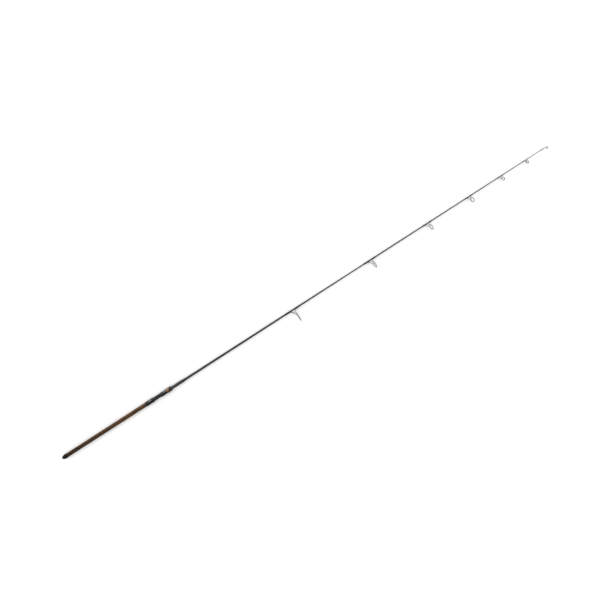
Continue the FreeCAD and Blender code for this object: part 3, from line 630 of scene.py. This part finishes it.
hood_start, hood_end = span("fixed_hood")
hood_angle = angles([44.5, 49.5], 0.9, 4.0, 4.0)
turned_lines = hood_start + TURNED_LINES_AT
x = np.unique(np.concatenate([rows(hood_start, hood_end, 1.0, 0.35),
                              (turned_lines[:, None] + np.linspace(-0.7, 0.7, 11)).ravel()]))[:, None]
hood_out = np.interp(x, [hood_start, hood_start + 8, hood_end - 3, hood_end],
                     [COLLAR_END_RADIUS, FIXED_HOOD_RADIUS, FIXED_HOOD_RADIUS, FIXED_HOOD_RADIUS - 0.25])
for at in turned_lines:
    hood_out = hood_out - LINE_DEPTH * np.exp(-((x - at) / LINE_WIDTH) ** 2)
hood_out = hood_out - fillet(x, hood_start, hood_end, 0.35) + 0 * hood_angle
deep_end = hood_end - POCKET_DEPTH
x_in = np.concatenate([[hood_end], np.linspace(hood_end - 0.3, deep_end, 16),
                       [deep_end - 0.2, hood_start]])[:, None]
roof = np.interp(x_in, [deep_end, hood_end], [BARREL_RADIUS + 0.2, FIXED_HOOD_RADIUS - ROOF])
pocket = np.where(x_in >= deep_end, pocket_limit(hood_angle, roof, POCKET_HALF_WIDTH), 0)
hood_in = np.maximum(BARREL_RADIUS, pocket) + 0.18 * (x_in == hood_end)
piece("fixed_hood_sleeve", [lined(x, hood_out, x_in, hood_in, hood_angle)], seat_nylon,
      "butt_section", ["fixed_hood"])


def hood_band(node, outer, inner, body, name):
    """The polished band: a crowned strip with well-rounded edges, bent round the hood."""
    start, end = span(node)
    x = rows(start, end, 1.5, 0.35)
    crown = 0.12 * ((2 * x - start - end) / (end - start)) ** 4
    top = np.stack([x, outer - crown - fillet(x, start, end, 0.35)], -1)
    strip = turned(np.vstack([top, [(end, inner), (start, inner)]]))
    piece(name, [strip], polished, body, [node])


polished, tree, shader = material("hood_black_polished", Specular_IOR_Level=0.5, Coat_Weight=0.5,
                                  Coat_Roughness=0.04)
surface(tree, shader, noise(tree, 90.0), (0.002, 0.002, 0.0022), (0.005, 0.005, 0.0055),
        worn=(0.06, 0.2, 800.0, 0.35, (0.18, 0.18, 0.19)), rough=(90.0, 0.08, 0.2))
hood_band("fixed_hood_shell", 12.9, FIXED_HOOD_RADIUS - 0.02, "butt_section", "fixed_hood_band")

# ---- Moving hood ----
# A second hood, moulded with a canopy over the foot's other toe. It slides on the thread's crests,
# and a flat inside it stops it from turning. It has a polished band of its own.

MOVING_HOOD_RADIUS, MOUTH_RADIUS, CANOPY_RADIUS = 11.9, 11.4, 12.6
CANOPY_HALF_WIDTH, LIP_LENGTH = 9.2, 17.0
HOOD_BORE, KEY_HEIGHT = 10.46, 9.26
slide_start, slide_end = span("moving_hood")
slide_angle = angles([22.0, 28.0, 44.0, 50.0], 0.9, 4.0, 4.0)
x = rows(slide_start, slide_end, 0.9, 0.3)[:, None]
plain = np.interp(x, [slide_start, slide_start + LIP_LENGTH], [MOUTH_RADIUS, MOVING_HOOD_RADIUS])
canopy_top = np.interp(x, [slide_start, slide_start + LIP_LENGTH, slide_start + LIP_LENGTH + 1.5],
                       [CANOPY_RADIUS, CANOPY_RADIUS - 0.1, MOVING_HOOD_RADIUS - 0.6])
canopy = pocket_limit(slide_angle, canopy_top, CANOPY_HALF_WIDTH)
slide_out = softer(plain + 0 * slide_angle, canopy, 0.06) - fillet(x, slide_start, slide_end, 0.3)
slide_out = np.minimum(slide_out, np.where(x > slide_start + LIP_LENGTH, MOVING_HOOD_RADIUS, CANOPY_RADIUS))
deep_end = slide_start + POCKET_DEPTH
x_in = np.concatenate([[slide_end, deep_end + 0.2], np.linspace(deep_end, slide_start + 0.3, 16),
                       [slide_start]])[:, None]
keyed = np.minimum(HOOD_BORE, flat_limit(slide_angle, KEY_HEIGHT))
roof = np.interp(x_in, [slide_start, deep_end], [CANOPY_RADIUS - ROOF, CREST_RADIUS])
pocket = np.where(x_in <= deep_end, pocket_limit(slide_angle, roof, POCKET_HALF_WIDTH), 0)
slide_in = np.maximum(keyed, pocket) + 0.18 * (x_in == slide_start)
piece("moving_hood_sleeve", [lined(x, slide_out, x_in, slide_in, slide_angle)], seat_nylon,
      "moving_hood", ["moving_hood"])
hood_band("moving_hood_shell", 12.4, MOVING_HOOD_RADIUS - 0.02, "moving_hood", "moving_hood_band")

# ---- Lock nut and its end ring ----
# An aluminium nut with milled finger flutes, anodised copper brown. A ribbed black ring is snapped
# into its front end. It turns on the thread and pushes the moving hood on to the reel's foot.

NUT_RADIUS, NUT_BORE = 13.2, 10.46
FLUTES, FLUTE_DEPTH = 24, 0.5
CUTTER_RADIUS = 0.9
nut_start, nut_end = span("lock_nut")
angle = around(FLUTES * 12)
x = np.unique(np.concatenate([rows(nut_start, nut_end, 0.7, 0.3), nut_start + np.linspace(2.2, 4.4, 9),
                              nut_end - np.linspace(2.6, 4.6, 9),
                              nut_end - np.linspace(1.0, 2.2, 9)]))[:, None]
nut_out = np.interp(x, [nut_start, nut_start + 1.5, nut_end - 0.8, nut_end],
                    [NUT_RADIUS - 0.9, NUT_RADIUS, NUT_RADIUS, NUT_RADIUS - 0.4])
nut_out = nut_out - fillet(x, nut_start, nut_end, 0.3)
# A flute is the round bottom left by a cutter: depth - (r - sqrt(r2 - d2)), d across from its middle.
aside = NUT_RADIUS * (2 * math.pi / FLUTES) * ((angle * FLUTES / (2 * math.pi) + 0.5) % 1 - 0.5)
depth = FLUTE_DEPTH * np.clip(np.minimum((x - nut_start - 2.3) / 1.8, (nut_end - 2.8 - x) / 1.6), 0, 1) ** 0.5
scoop = depth - (CUTTER_RADIUS - np.sqrt(np.maximum(CUTTER_RADIUS ** 2 - aside ** 2, 0)))
nut_out = nut_out - np.where(np.abs(aside) < CUTTER_RADIUS, np.maximum(scoop, 0), 0)
nut_out = nut_out - 0.3 * np.exp(-((x - nut_end + 1.6) / 0.3) ** 2)
nut_bore = np.array([[nut_end], [nut_end - 0.4], [nut_start + 0.4], [nut_start]])
bore_radius = np.array([[NUT_BORE + 0.3], [NUT_BORE], [NUT_BORE], [NUT_BORE + 0.3]])
copper, tree, shader = material("copper_anodised", Metallic=1.0, Specular_IOR_Level=0.5)
turning = placed(tree, wound_tree, Turns_per_metre=5200.0, Hand=1.0)
dyed = blend_colour(tree, noise(tree, 220.0), (0.20, 0.105, 0.062), (0.30, 0.165, 0.10))
# Painted shade: the hollows of the flutes and of the groove near the front end are darkened in the base colour.
surface(tree, shader, fade(tree, edge_of(tree), -0.02, -0.1), dyed, (0.05, 0.028, 0.02),
        worn=(0.045, 0.14, 600.0, 0.55, (0.62, 0.5, 0.42)), rough=(120.0, 0.3, 0.45),
        bump=(turning, 0.005, 0.5))
piece("lock_nut_fluted", [lined(x, nut_out, nut_bore, bore_radius, angle)], copper,
      "lock_nut", ["lock_nut"])

END_RING_RADIUS = 12.9
RIB_HEIGHT, RIB_PITCH = 0.28, 1.05
ring_start, ring_end = span("nut_end_ring")
x = rows(ring_start, ring_end, 0.12, 0.3)
ribs = RIB_HEIGHT / 2 * (1 - np.cos(2 * math.pi * (x - ring_start - 0.4) / RIB_PITCH))
taper = np.interp(x, [ring_start, ring_end - 2, ring_end], [0, 0, 0.9])
ring_radius = END_RING_RADIUS - (taper + ribs + fillet(x, ring_start, ring_end, 0.3))
end_ring = np.vstack([np.stack([x, ring_radius], -1), [(ring_end, NUT_BORE), (ring_start, NUT_BORE)]])
ring_rubber, tree, shader = material("nut_ring_rubber", Specular_IOR_Level=0.2)
skin = placed(tree, grain_tree, Scale=2400.0, Lumps=160.0)
surface(tree, shader, skin, (0.006, 0.006, 0.006), (0.018, 0.018, 0.018), rough=(skin, 0.5, 0.68),
        bump=(skin, 0.06, 0.5))
piece("nut_end_ring_ribbed", [turned(end_ring)], ring_rubber, "lock_nut", ["nut_end_ring"])

# ---- Foregrip ----
# A slim sleeve of hard black foam, reamed to the blank, glued on and ground to shape. It flares out
# at the back to meet the reel seat.

FOREGRIP_WALL, FLARE_LENGTH = 1.8, 22.0
fore_start, fore_end = span("foregrip")
slim = butt_radius(fore_start) + FOREGRIP_WALL
x = rows(fore_start, fore_end, 0.9, 0.25)
flare = (CREST_RADIUS - slim) * (1 - np.clip((x - fore_start) / FLARE_LENGTH, 0, 1)) ** 2.6
fore_outline = np.vstack([np.stack([x, slim + flare - fillet(x, fore_start, fore_end, 0.25)], -1),
                          [(fore_end, butt_radius(fore_end)), (fore_start, butt_radius(fore_start))]])
foam, tree, shader = material("foregrip_foam_hard", Specular_IOR_Level=0.25, Sheen_Weight=0.1,
                              Sheen_Roughness=0.5)
cells = add(tree, "ShaderNodeTexVoronoi", {"Vector": object_point(tree), "Scale": 2300.0}).outputs["Distance"]
skin = placed(tree, grain_tree, Scale=1600.0, Lumps=50.0)
cell_walls = fade(tree, cells, 0.1, 0.6)
surface(tree, shader, times(tree, cell_walls, skin), (0.016, 0.0165, 0.019), (0.045, 0.047, 0.056),
        rough=(skin, 0.42, 0.6), bump=(cell_walls, 0.07, 0.5))
piece("foregrip_foam_sleeve", [turned(fore_outline)], foam, "butt_section", ["foregrip"])

# ---- Winding check ----
# A short black ring that slides down the blank and covers the open front of the foregrip. It is
# turned, with a fine groove, and tapers towards the blank.

check_start, check_end = span("winding_check")
lip = slim + 0.15
shoulder = check_start + 0.55 * (check_end - check_start)
front = butt_radius(check_end) + 0.8
cut = lip - 0.25
check_outline = rounded([(check_start, butt_radius(check_start)), (check_start, lip),
                         (check_start + 1.3, lip), (check_start + 1.5, cut), (check_start + 1.9, cut),
                         (check_start + 2.1, lip), (shoulder, lip), (check_end, front),
                         (check_end, butt_radius(check_end))], 0.2)
check_black, tree, shader = material("check_black_satin", Specular_IOR_Level=0.5, Coat_Weight=0.4,
                                     Coat_Roughness=0.15)
turning = placed(tree, wound_tree, Turns_per_metre=5000.0, Hand=1.0)
surface(tree, shader, noise(tree, 300.0), (0.006, 0.006, 0.006), (0.012, 0.012, 0.012),
        worn=(0.05, 0.16, 700.0, 0.3, (0.12, 0.12, 0.12)), rough=(150.0, 0.22, 0.35),
        bump=(turning, 0.005, 0.4))
piece("winding_check_ring", [turned(spread(check_outline, 0.6))], check_black, "butt_section",
      ["winding_check"])

# ---- Whippings ----
# Black nylon thread wound tightly round the blank, or round the blank and a guide's foot, and
# flooded with clear epoxy that runs out to a thin edge. One short band trims the handle.

thread, tree, shader = material("thread_under_epoxy", Specular_IOR_Level=0.2, Coat_Weight=0.45,
                                Coat_Roughness=0.04)
THREAD_THICK = 0.26
strands = placed(tree, wound_tree, Turns_per_metre=1 / (THREAD_THICK * MM), Hand=1.0)
surface(tree, shader, times(tree, strands, noise(tree, 130.0, 2.0)), (0.002, 0.002, 0.0022),
        (0.014, 0.014, 0.0155), rough=(200.0, 0.3, 0.5), bump=(strands, 0.03, 0.5))


def wrap(radius_at, start, end, layer, toe=None, heel=None, toe_width=0.0, heel_width=0.0,
         toe_thick=0.0, heel_thick=0.0, columns=72):
    """Thread round a blank, as a closed shell. Taut thread over a foot of thickness t and half-angle
    w follows the blank, then leaves it on a tangent to the foot's edge: the radius is a beyond the
    tangent angle w + acos(a / (a + t)), a / cos(tangent angle - angle) on the straight run, and
    a + t over the foot. The layer of thread and epoxy on it thins out to nothing at both ends."""
    ends = np.array([0, 0.25, 0.7, 1.3, 2.0])
    between = np.linspace(start + 2, end - 2, max(2, int((end - start) / 0.7)))
    x = np.unique(np.concatenate([start + ends, between, end - ends]))
    if toe is not None:
        x = np.unique(np.concatenate([x, toe + np.linspace(-0.3, 0.3, 3)]))
    x = x[np.concatenate([[True], np.diff(x) > 0.04])]
    blank = radius_at(x)[:, None]
    angle = around(columns)
    off = np.abs((angle + math.pi) % (2 * math.pi) - math.pi)
    surface = blank + 0 * off
    if toe is not None:
        share = np.clip((x - toe) / (heel - toe), 0, 1)[:, None]
        covered = np.clip((x - toe) * np.sign(heel - toe) / 0.4, 0, 1)[:, None]
        thick = covered * (toe_thick + share * (heel_thick - toe_thick)) + 1e-6
        half = 0.5 * (toe_width + share * (heel_width - toe_width)) / (blank + thick)
        leaves = half + np.arccos(blank / (blank + thick))
        run = blank / np.cos(np.clip(leaves - off, 0, 1.2))
        surface = np.where(off < half, blank + thick, np.where(off < leaves, run, blank))
    edge = np.clip(np.minimum(x - start, end - x) / 1.3, 0, 1)[:, None]
    outer = surface + 0.03 + (layer - 0.03) * np.sqrt(edge * (2 - edge))
    inner = radius_at(x[::-1])[:, None] - 0.04
    return lined(x[:, None], outer, x[::-1][:, None], inner, angle)


trim_start, trim_end = span("trim_whipping")
piece("trim_thread_band", [wrap(butt_radius, trim_start, trim_end, 0.42)], thread,
      "butt_section", ["trim_whipping"])

# ---- Blank of the tip section ----
# The same rolled carbon tube, thinner walled and finer. Its back end is bored as a sleeve that
# pushes over the butt section's male end, and a whipping keeps the sleeve's mouth from splitting.

SLEEVE_MOUTH, TIP_END = span("tip_blank")
TIP_SHARES = np.array([0.0, 0.08, 0.288, 0.45, 0.66, 0.845, 0.94, 1.0])
TIP_TAPER = SLEEVE_MOUTH + (TIP_END - SLEEVE_MOUTH) * TIP_SHARES
TIP_RADII = np.array([7.6, 7.4, 6.6, 6.0, 5.3, 4.2, 3.3, 2.5]) / 2
SLEEVE_CLEARANCE, SLEEVE_BEYOND = 0.05, 4.0


def tip_radius(x):
    """The tip blank's radius: straight tapers between its stations."""
    return np.interp(x, TIP_TAPER, TIP_RADII)


sleeve_end = MALE_END + SLEEVE_BEYOND
bore = [(sleeve_end, 0.4), (sleeve_end, butt_radius(MALE_END) + SLEEVE_CLEARANCE),
        (MALE_END, butt_radius(MALE_END) + SLEEVE_CLEARANCE),
        (SLEEVE_MOUTH + 0.4, butt_radius(SLEEVE_MOUTH + 0.4) + SLEEVE_CLEARANCE),
        (SLEEVE_MOUTH, butt_radius(SLEEVE_MOUTH) + 0.35)]
mouth = [(SLEEVE_MOUTH, tip_radius(SLEEVE_MOUTH) - 0.15), (SLEEVE_MOUTH + 0.15, tip_radius(SLEEVE_MOUTH))]
x = np.linspace(SLEEVE_MOUTH + 1, TIP_END - 0.4, 240)
nose = [(TIP_END, tip_radius(TIP_END) - 0.4), (TIP_END, 0.2)]
tip_outline = np.vstack([bore, mouth, np.stack([x, tip_radius(x)], -1), nose])
piece("tip_section_blank", [turned(tip_outline, 48, False)], carbon, "tip_section",
      ["tip_blank"])
wrap_start, wrap_end = span("ferrule_whipping")
piece("ferrule_thread_band", [wrap(tip_radius, wrap_start, wrap_end, 0.5)], thread,
      "tip_section", ["ferrule_whipping"])

# ---- Line guides ----
# Six guides, each of steel wire bent to three legs, two behind and one in front, and plated dark. The
# legs' ends are ground flat for feet, and their tops are brazed round a hoop with a black ceramic ring.

# Rim diameter, ring's height over the axis, where the rear foot ends behind the ring, its length,
# where the front foot starts ahead of the ring, and its length.
GUIDES = [(55.0, 48.0, 23.0, 28.0, 9.0, 26.0), (38.5, 34.0, 21.0, 19.0, 5.0, 19.0),
          (31.0, 29.5, 17.0, 18.0, 4.5, 16.0), (27.0, 25.0, 14.0, 16.0, 4.0, 14.0),
          (20.5, 19.5, 12.0, 12.0, 3.5, 11.0), (15.5, 15.0, 8.0, 10.5, 3.0, 9.5)]
HOOP_WIDTH, RING_WIDTH = 2.2, 3.0
FOOT_THICK, TOE_THICK, TOE_SHARE = 0.85, 0.25, 0.45
RUN_OFF = 3.0                    # thread past the toe
THREAD_LAYER = 0.32


def bar(path, half_width, half_height, squareness, columns=16):
    """A closed bar along a path. At each point it is an oval of that half width and half height,
    square to the path; squareness 2 gives a true oval, and more gives flatter sides."""
    tangent = np.gradient(path, axis=0)
    tangent /= np.linalg.norm(tangent, axis=1, keepdims=True)
    up = np.cross(tangent, [0.0, 1.0, 0.0])
    up /= np.linalg.norm(up, axis=1, keepdims=True)
    across = np.cross(tangent, up)
    turn = around(columns)
    power = 2 / squareness[:, None]
    wide = np.sign(np.cos(turn)) * np.abs(np.cos(turn)) ** power * half_width[:, None]
    high = np.sign(np.sin(turn)) * np.abs(np.sin(turn)) ** power * half_height[:, None]
    return shell(path[:, None] + across[:, None] * wide[..., None] + up[:, None] * high[..., None], False)


def leg(corners, bend, toe_size, heel_size, wire, foot_length, tail):
    """One leg of a guide: a flat tapered foot that swells into round wire at its heel, and thins
    again over its last tail millimetres, where it is brazed to the hoop."""
    path = spread(rounded(corners, bend, False, 9), 0.8)
    far = np.concatenate([[0], np.cumsum(np.linalg.norm(np.diff(path, axis=0), axis=1))])
    on_foot = np.clip(far / foot_length, 0, 1)
    to_wire = np.clip((far - foot_length + 1.0) / 4.0, 0, 1)
    to_wire = to_wire * to_wire * (3 - 2 * to_wire)
    end = 1 - 0.55 * np.clip((far - far[-1] + tail) / tail, 0, 1) ** 2
    nose = np.sqrt(np.clip((far + 0.05) / 0.8, 0, 1))
    sizes = [nose * ((t + on_foot * (h - t)) * (1 - to_wire) + wire * to_wire) * end
             for t, h in zip(toe_size, heel_size)]
    return bar(path, sizes[0], sizes[1], 5.0 - 3.0 * to_wire)


def facing_ring(outline, centre, lean=0.0, columns=120):
    """A ring turned about a line through its own centre, tipped forward at the top by lean."""
    x, radius = np.asarray(outline, float).T
    points = ringed(x[:, None], radius[:, None], around(columns))
    c, s = math.cos(lean), math.sin(lean)
    tipped = np.stack([c * points[..., 0] + s * points[..., 2], points[..., 1],
                       c * points[..., 2] - s * points[..., 0]], -1)
    return shell(tipped + centre)


def hoop_and_ring(rim, centre, lean=0.0):
    """The hoop, a flat band with rolled edges, and the ceramic ring, whose bore is well rounded."""
    outer = rim / 2
    seat = outer - (0.75 + 0.011 * rim)
    bore = seat - (0.9 + 0.028 * rim)
    h, w = HOOP_WIDTH / 2, RING_WIDTH / 2
    band = rounded([(-h, seat - 0.04), (-h, outer), (h, outer), (h, seat - 0.04)], 0.38)
    ceramic = rounded([(-w, bore), (-w, seat - 0.3), (1 - w, seat), (w - 1, seat), (w, seat - 0.3), (w, bore)],
                      [1.0, 0.2, 0.2, 0.2, 0.2, 1.0], True, 7)
    return facing_ring(band, centre, lean), facing_ring(ceramic, centre, lean)


def metal(name, dark, light, metallic):
    """Drawn and brushed metal: fine scratches, smears, and a little more shine along the edges."""
    made, tree, shader = material(name, Metallic=metallic, Specular_IOR_Level=0.5)
    scratches = noise(tree, 900.0, 5.0, 0.7)
    surface(tree, shader, fade(tree, scratches, 0.3, 0.7), dark, light,
            worn=(0.08, 0.25, 900.0, 0.3, (0.7, 0.7, 0.7)), rough=(260.0, 0.25, 0.4),
            bump=(scratches, 0.01, 0.4))
    return made


steel = metal("guide_steel_dark", (0.035, 0.035, 0.037), (0.075, 0.075, 0.078), 0.9)
ceramic_black, tree, shader = material("ring_ceramic_polished", Specular_IOR_Level=0.7, Coat_Weight=0.6,
                                      Coat_Roughness=0.03)
surface(tree, shader, noise(tree, 1500.0, 2.0), (0.008, 0.008, 0.009), (0.018, 0.018, 0.019),
        rough=(300.0, 0.1, 0.2))

for number, (rim, height, rear_end, rear_length, front_start, front_length) in enumerate(GUIDES, 1):
    label = "guide_" + str(number)
    station = MOUNTS[label + "_line_bore"]["pos_m"][0] / MM
    on_butt = station < SLEEVE_MOUTH
    body, radius_at = ("butt_section", butt_radius) if on_butt else ("tip_section", tip_radius)
    centre = np.array([station, 0.0, height])
    wire = 0.55 + 0.007 * rim
    rear_heel, front_heel = station - rear_end, station + front_start
    rear_toe, front_toe = rear_heel - rear_length, front_heel + front_length
    reach = rim / 2 + 0.3 * wire
    rear_width = 1.4 + 0.9 * radius_at(rear_heel)
    front_width = 1.4 + 0.9 * radius_at(front_heel)
    band, ceramic = hoop_and_ring(rim, centre)
    frame_shells = [band]
    for side in (-1, 1):
        # The leg runs straight to the hoop, touches it on a tangent, and sinks into it over 18 degrees.
        foot_side = rear_width / 2 - wire
        leg_foot = radius_at(rear_heel) + 0.8 * wire
        across, down = side * foot_side, leg_foot - height
        touch = math.atan2(down, across) + side * math.acos(reach / math.hypot(across, down))
        brazed = touch + side * np.radians([0.0, 6.0, 12.0, 18.0])
        sunk = reach - wire * np.array([0.0, 0.3, 0.8, 1.3])
        hug = np.stack([np.full(4, station), sunk * np.cos(brazed), height + sunk * np.sin(brazed)], -1)
        corners = [(rear_toe, side * rear_width * TOE_SHARE / 4, radius_at(rear_toe) + TOE_THICK / 2),
                   (rear_heel - wire, side * rear_width / 4, radius_at(rear_heel) + FOOT_THICK / 2),
                   (rear_heel + 0.3, side * foot_side, leg_foot), *hug]
        frame_shells.append(leg(corners, [0, 2.0, 2.0, 6.0, 6.0, 6.0, 0],
                                (rear_width * TOE_SHARE / 4, TOE_THICK / 2), (rear_width / 4, FOOT_THICK / 2),
                                wire, rear_length - wire, 0.35 * rim))
    corners = [(front_toe, 0, radius_at(front_toe) + TOE_THICK / 2),
               (front_heel + 2.5 * wire, 0, radius_at(front_heel) + FOOT_THICK / 2),
               (front_heel, 0, radius_at(front_heel) + wire),
               (station + 0.25, 0, height - reach - 0.12 * rim), (station, 0, height - reach + 0.2)]
    frame_shells.append(leg(corners, [0, 2.0, 2.5, 8.0, 0], (front_width * TOE_SHARE / 2, TOE_THICK / 2),
                            (front_width / 2, FOOT_THICK / 2), 1.15 * wire, front_length - wire, 0.12 * rim))
    piece(label + "_wire_frame", frame_shells, steel, body, [label + "_frame"])
    piece(label + "_ceramic_ring", [ceramic], ceramic_black, body, [label + "_ring"])
    wraps = [wrap(radius_at, rear_toe - RUN_OFF, rear_heel - wire, THREAD_LAYER, rear_toe, rear_heel,
                  rear_width * TOE_SHARE, rear_width, TOE_THICK, FOOT_THICK),
             wrap(radius_at, front_heel + wire, front_toe + RUN_OFF, THREAD_LAYER, front_toe, front_heel,
                  front_width * TOE_SHARE, front_width, TOE_THICK, FOOT_THICK)]
    piece(label + "_thread_wraps", wraps, thread, body, [label + "_whippings"])

# ---- Tip top ----
# The last guide: a thin steel tube glued over the tip of the blank, with three wire legs to a small
# hoop that leans forward. It is finished black, and a short whipping covers the tube's back end.

TIP_RIM, TIP_HEIGHT, TIP_LEAN = 12.0, 6.2, math.radians(10)
TUBE_RADIUS, TUBE_LENGTH, TIP_WIRE = 1.8, 24.0, 0.55
tube_end_x = TIP_END + 1.2
tube_start_x = tube_end_x - TUBE_LENGTH
tip_centre = np.array([MOUNTS["tip_ring_line_bore"]["pos_m"][0] / MM, 0.0, TIP_HEIGHT])
tube = rounded([(tube_start_x, tip_radius(tube_start_x)), (tube_start_x, TUBE_RADIUS),
                (tube_end_x - 1.2, TUBE_RADIUS), (tube_end_x, 1.0), (tube_end_x, 0.3)], 0.25, False)
tube = np.vstack([[(tube_start_x, 0.5)], tube])
band, ceramic = hoop_and_ring(TIP_RIM, tip_centre, TIP_LEAN)
tip_shells = [turned(tube, 40, False), band]
tip_reach = TIP_RIM / 2 + 0.3 * TIP_WIRE
for degrees in (-60, 0, 60):
    turn = math.radians(degrees)
    across, down = tip_reach * math.sin(turn), tip_reach * math.cos(turn)
    top = tip_centre + np.array([-down * math.sin(TIP_LEAN), across, -down * math.cos(TIP_LEAN)])
    aside, up = TUBE_RADIUS * math.sin(turn), TUBE_RADIUS * math.cos(turn)
    foot_at = np.array([tube_end_x - 4.5, 0.85 * aside, 0.9 * up])
    leaves = np.array([tube_end_x - 1.0, 0.95 * aside, up])
    path = spread(rounded([foot_at, leaves, top + 0.15 * (leaves - top), top], 2.0, False, 7), 0.35)
    far = np.linspace(0, 1, len(path))
    size = TIP_WIRE * np.minimum(0.45 + 3 * far, np.minimum(1, 0.75 + 2.5 * (1 - far)))
    tip_shells.append(bar(path, size, size, np.full(len(path), 2.0), 14))
black_steel = metal("tip_frame_black", (0.012, 0.012, 0.012), (0.03, 0.03, 0.03), 0.3)
piece("tip_top_tube_and_hoop", tip_shells, black_steel, "tip_section", ["tip_top_frame"])
piece("tip_top_ceramic_ring", [ceramic], ceramic_black, "tip_section", ["tip_top_ring"])
wrap_start, wrap_end = span("tip_whipping")


def over_tube(x):
    """The surface under the last whipping: the blank, rising over 1 mm to the tube's outside."""
    step = np.clip((x - tube_start_x + 0.7) / 0.9, 0, 1)
    return tip_radius(x) + (TUBE_RADIUS - tip_radius(x)) * step * step * (3 - 2 * step)


piece("tip_thread_band", [wrap(over_tube, wrap_start, wrap_end, 0.28)], thread, "tip_section",
      ["tip_whipping"])

# ---- Studio ----
# A white floor in a white room. Even light falls from straight above and a faint sun from the left,
# the rod's own shine mirrors a bright wall and a dark one, and the camera looks straight down.

ROOM_WALLS, ROOM_CEILING = 1.45, 0.3
DARK_SIDE, BRIGHT_SIDE = 0.05, 1.8
LENS_SHARE = 0.55                # focal length over the sensor's width
CAMERA_PLACE, CAMERA_HEIGHT, CAMERA_TURN = (1.506, 0.0236), 1.7455, -32.789
camera_data = bpy.data.cameras.new("overhead_camera")
camera_data.sensor_width = 36.0
camera_data.lens = LENS_SHARE * camera_data.sensor_width
camera_data.clip_end = 100.0
camera = bpy.data.objects.new("overhead_camera", camera_data)
bpy.context.scene.collection.objects.link(camera)
camera.location = (*CAMERA_PLACE, CAMERA_HEIGHT)
camera.rotation_euler = (0, 0, math.radians(CAMERA_TURN))
bpy.context.scene.camera = camera

FLOOR_HALF, FLOOR_MIDDLE = 30.0, 1.5
floor_mesh = bpy.data.meshes.new("studio_floor")
floor_corners = FLOOR_HALF * np.array([(-1, -1), (1, -1), (1, 1), (-1, 1)])
floor_mesh.from_pydata([(x + FLOOR_MIDDLE, y, cad_low.z - 0.0002) for x, y in floor_corners.tolist()],
                       [], [(0, 1, 2, 3)])
floor_finish, tree, shader = material("studio_floor_white", Specular_IOR_Level=0.1, Roughness=0.9)
surface(tree, shader, noise(tree, 3.0), (0.93, 0.93, 0.93), (0.95, 0.95, 0.95))
floor_mesh.materials.append(floor_finish)
floor = bpy.data.objects.new("studio_floor", floor_mesh)
bpy.context.scene.collection.objects.link(floor)


def lamp(name, kind, place_at, aim, energy, mirrored=True, **settings):
    """A lamp that faces a point."""
    data = bpy.data.lights.new(name, kind)
    data.energy = energy
    for key, value in settings.items():
        setattr(data, key, value)
    holder = bpy.data.objects.new(name, data)
    bpy.context.scene.collection.objects.link(holder)
    holder.location = place_at
    holder.rotation_euler = (Vector(aim) - Vector(place_at)).to_track_quat("-Z", "Y").to_euler()
    holder.visible_glossy = mirrored


lamp("left_key", "SUN", (-0.48, 0.54, 0.69), (0, 0, 0), 0.3, angle=math.radians(13))
lamp("overhead_soft_box", "SUN", (0.0, 0.0, 1.0), (0, 0, 0), 1.9, mirrored=False,
     angle=math.radians(90))
world = bpy.data.worlds.new("white_room")
bpy.context.scene.world = world
world.use_nodes = True
tree = world.node_tree
facing = add(tree, "ShaderNodeSeparateXYZ", {0: add(tree, "ShaderNodeTexCoord").outputs["Generated"]}).outputs
walls = fade(tree, facing["Z"], 0.1, 0.75, ROOM_WALLS, ROOM_CEILING, smooth=True)
even = times(tree, walls, fade(tree, facing["Y"], -0.8, 0.8, 0.8, 1.15))
# What the rod's own shine mirrors: a bright wall beyond its +Y side and a dark one in front.
mirrored = fade(tree, facing["Y"], -0.1, 0.65, DARK_SIDE, BRIGHT_SIDE, smooth=True)
rays = add(tree, "ShaderNodeLightPath").outputs
strength = add(tree, "ShaderNodeMix", {0: rays["Is Glossy Ray"], 2: even, 3: mirrored}).outputs[0]
# Seen directly it is plain white, like the floor.
strength = add(tree, "ShaderNodeMix", {0: rays["Is Camera Ray"], 2: strength, 3: 1.05}).outputs[0]
tree.links.new(strength, tree.nodes["Background"].inputs["Strength"])
tree.nodes["Background"].inputs["Color"].default_value = (1, 1, 1, 1)
bpy.context.scene.view_settings.view_transform = "Standard"
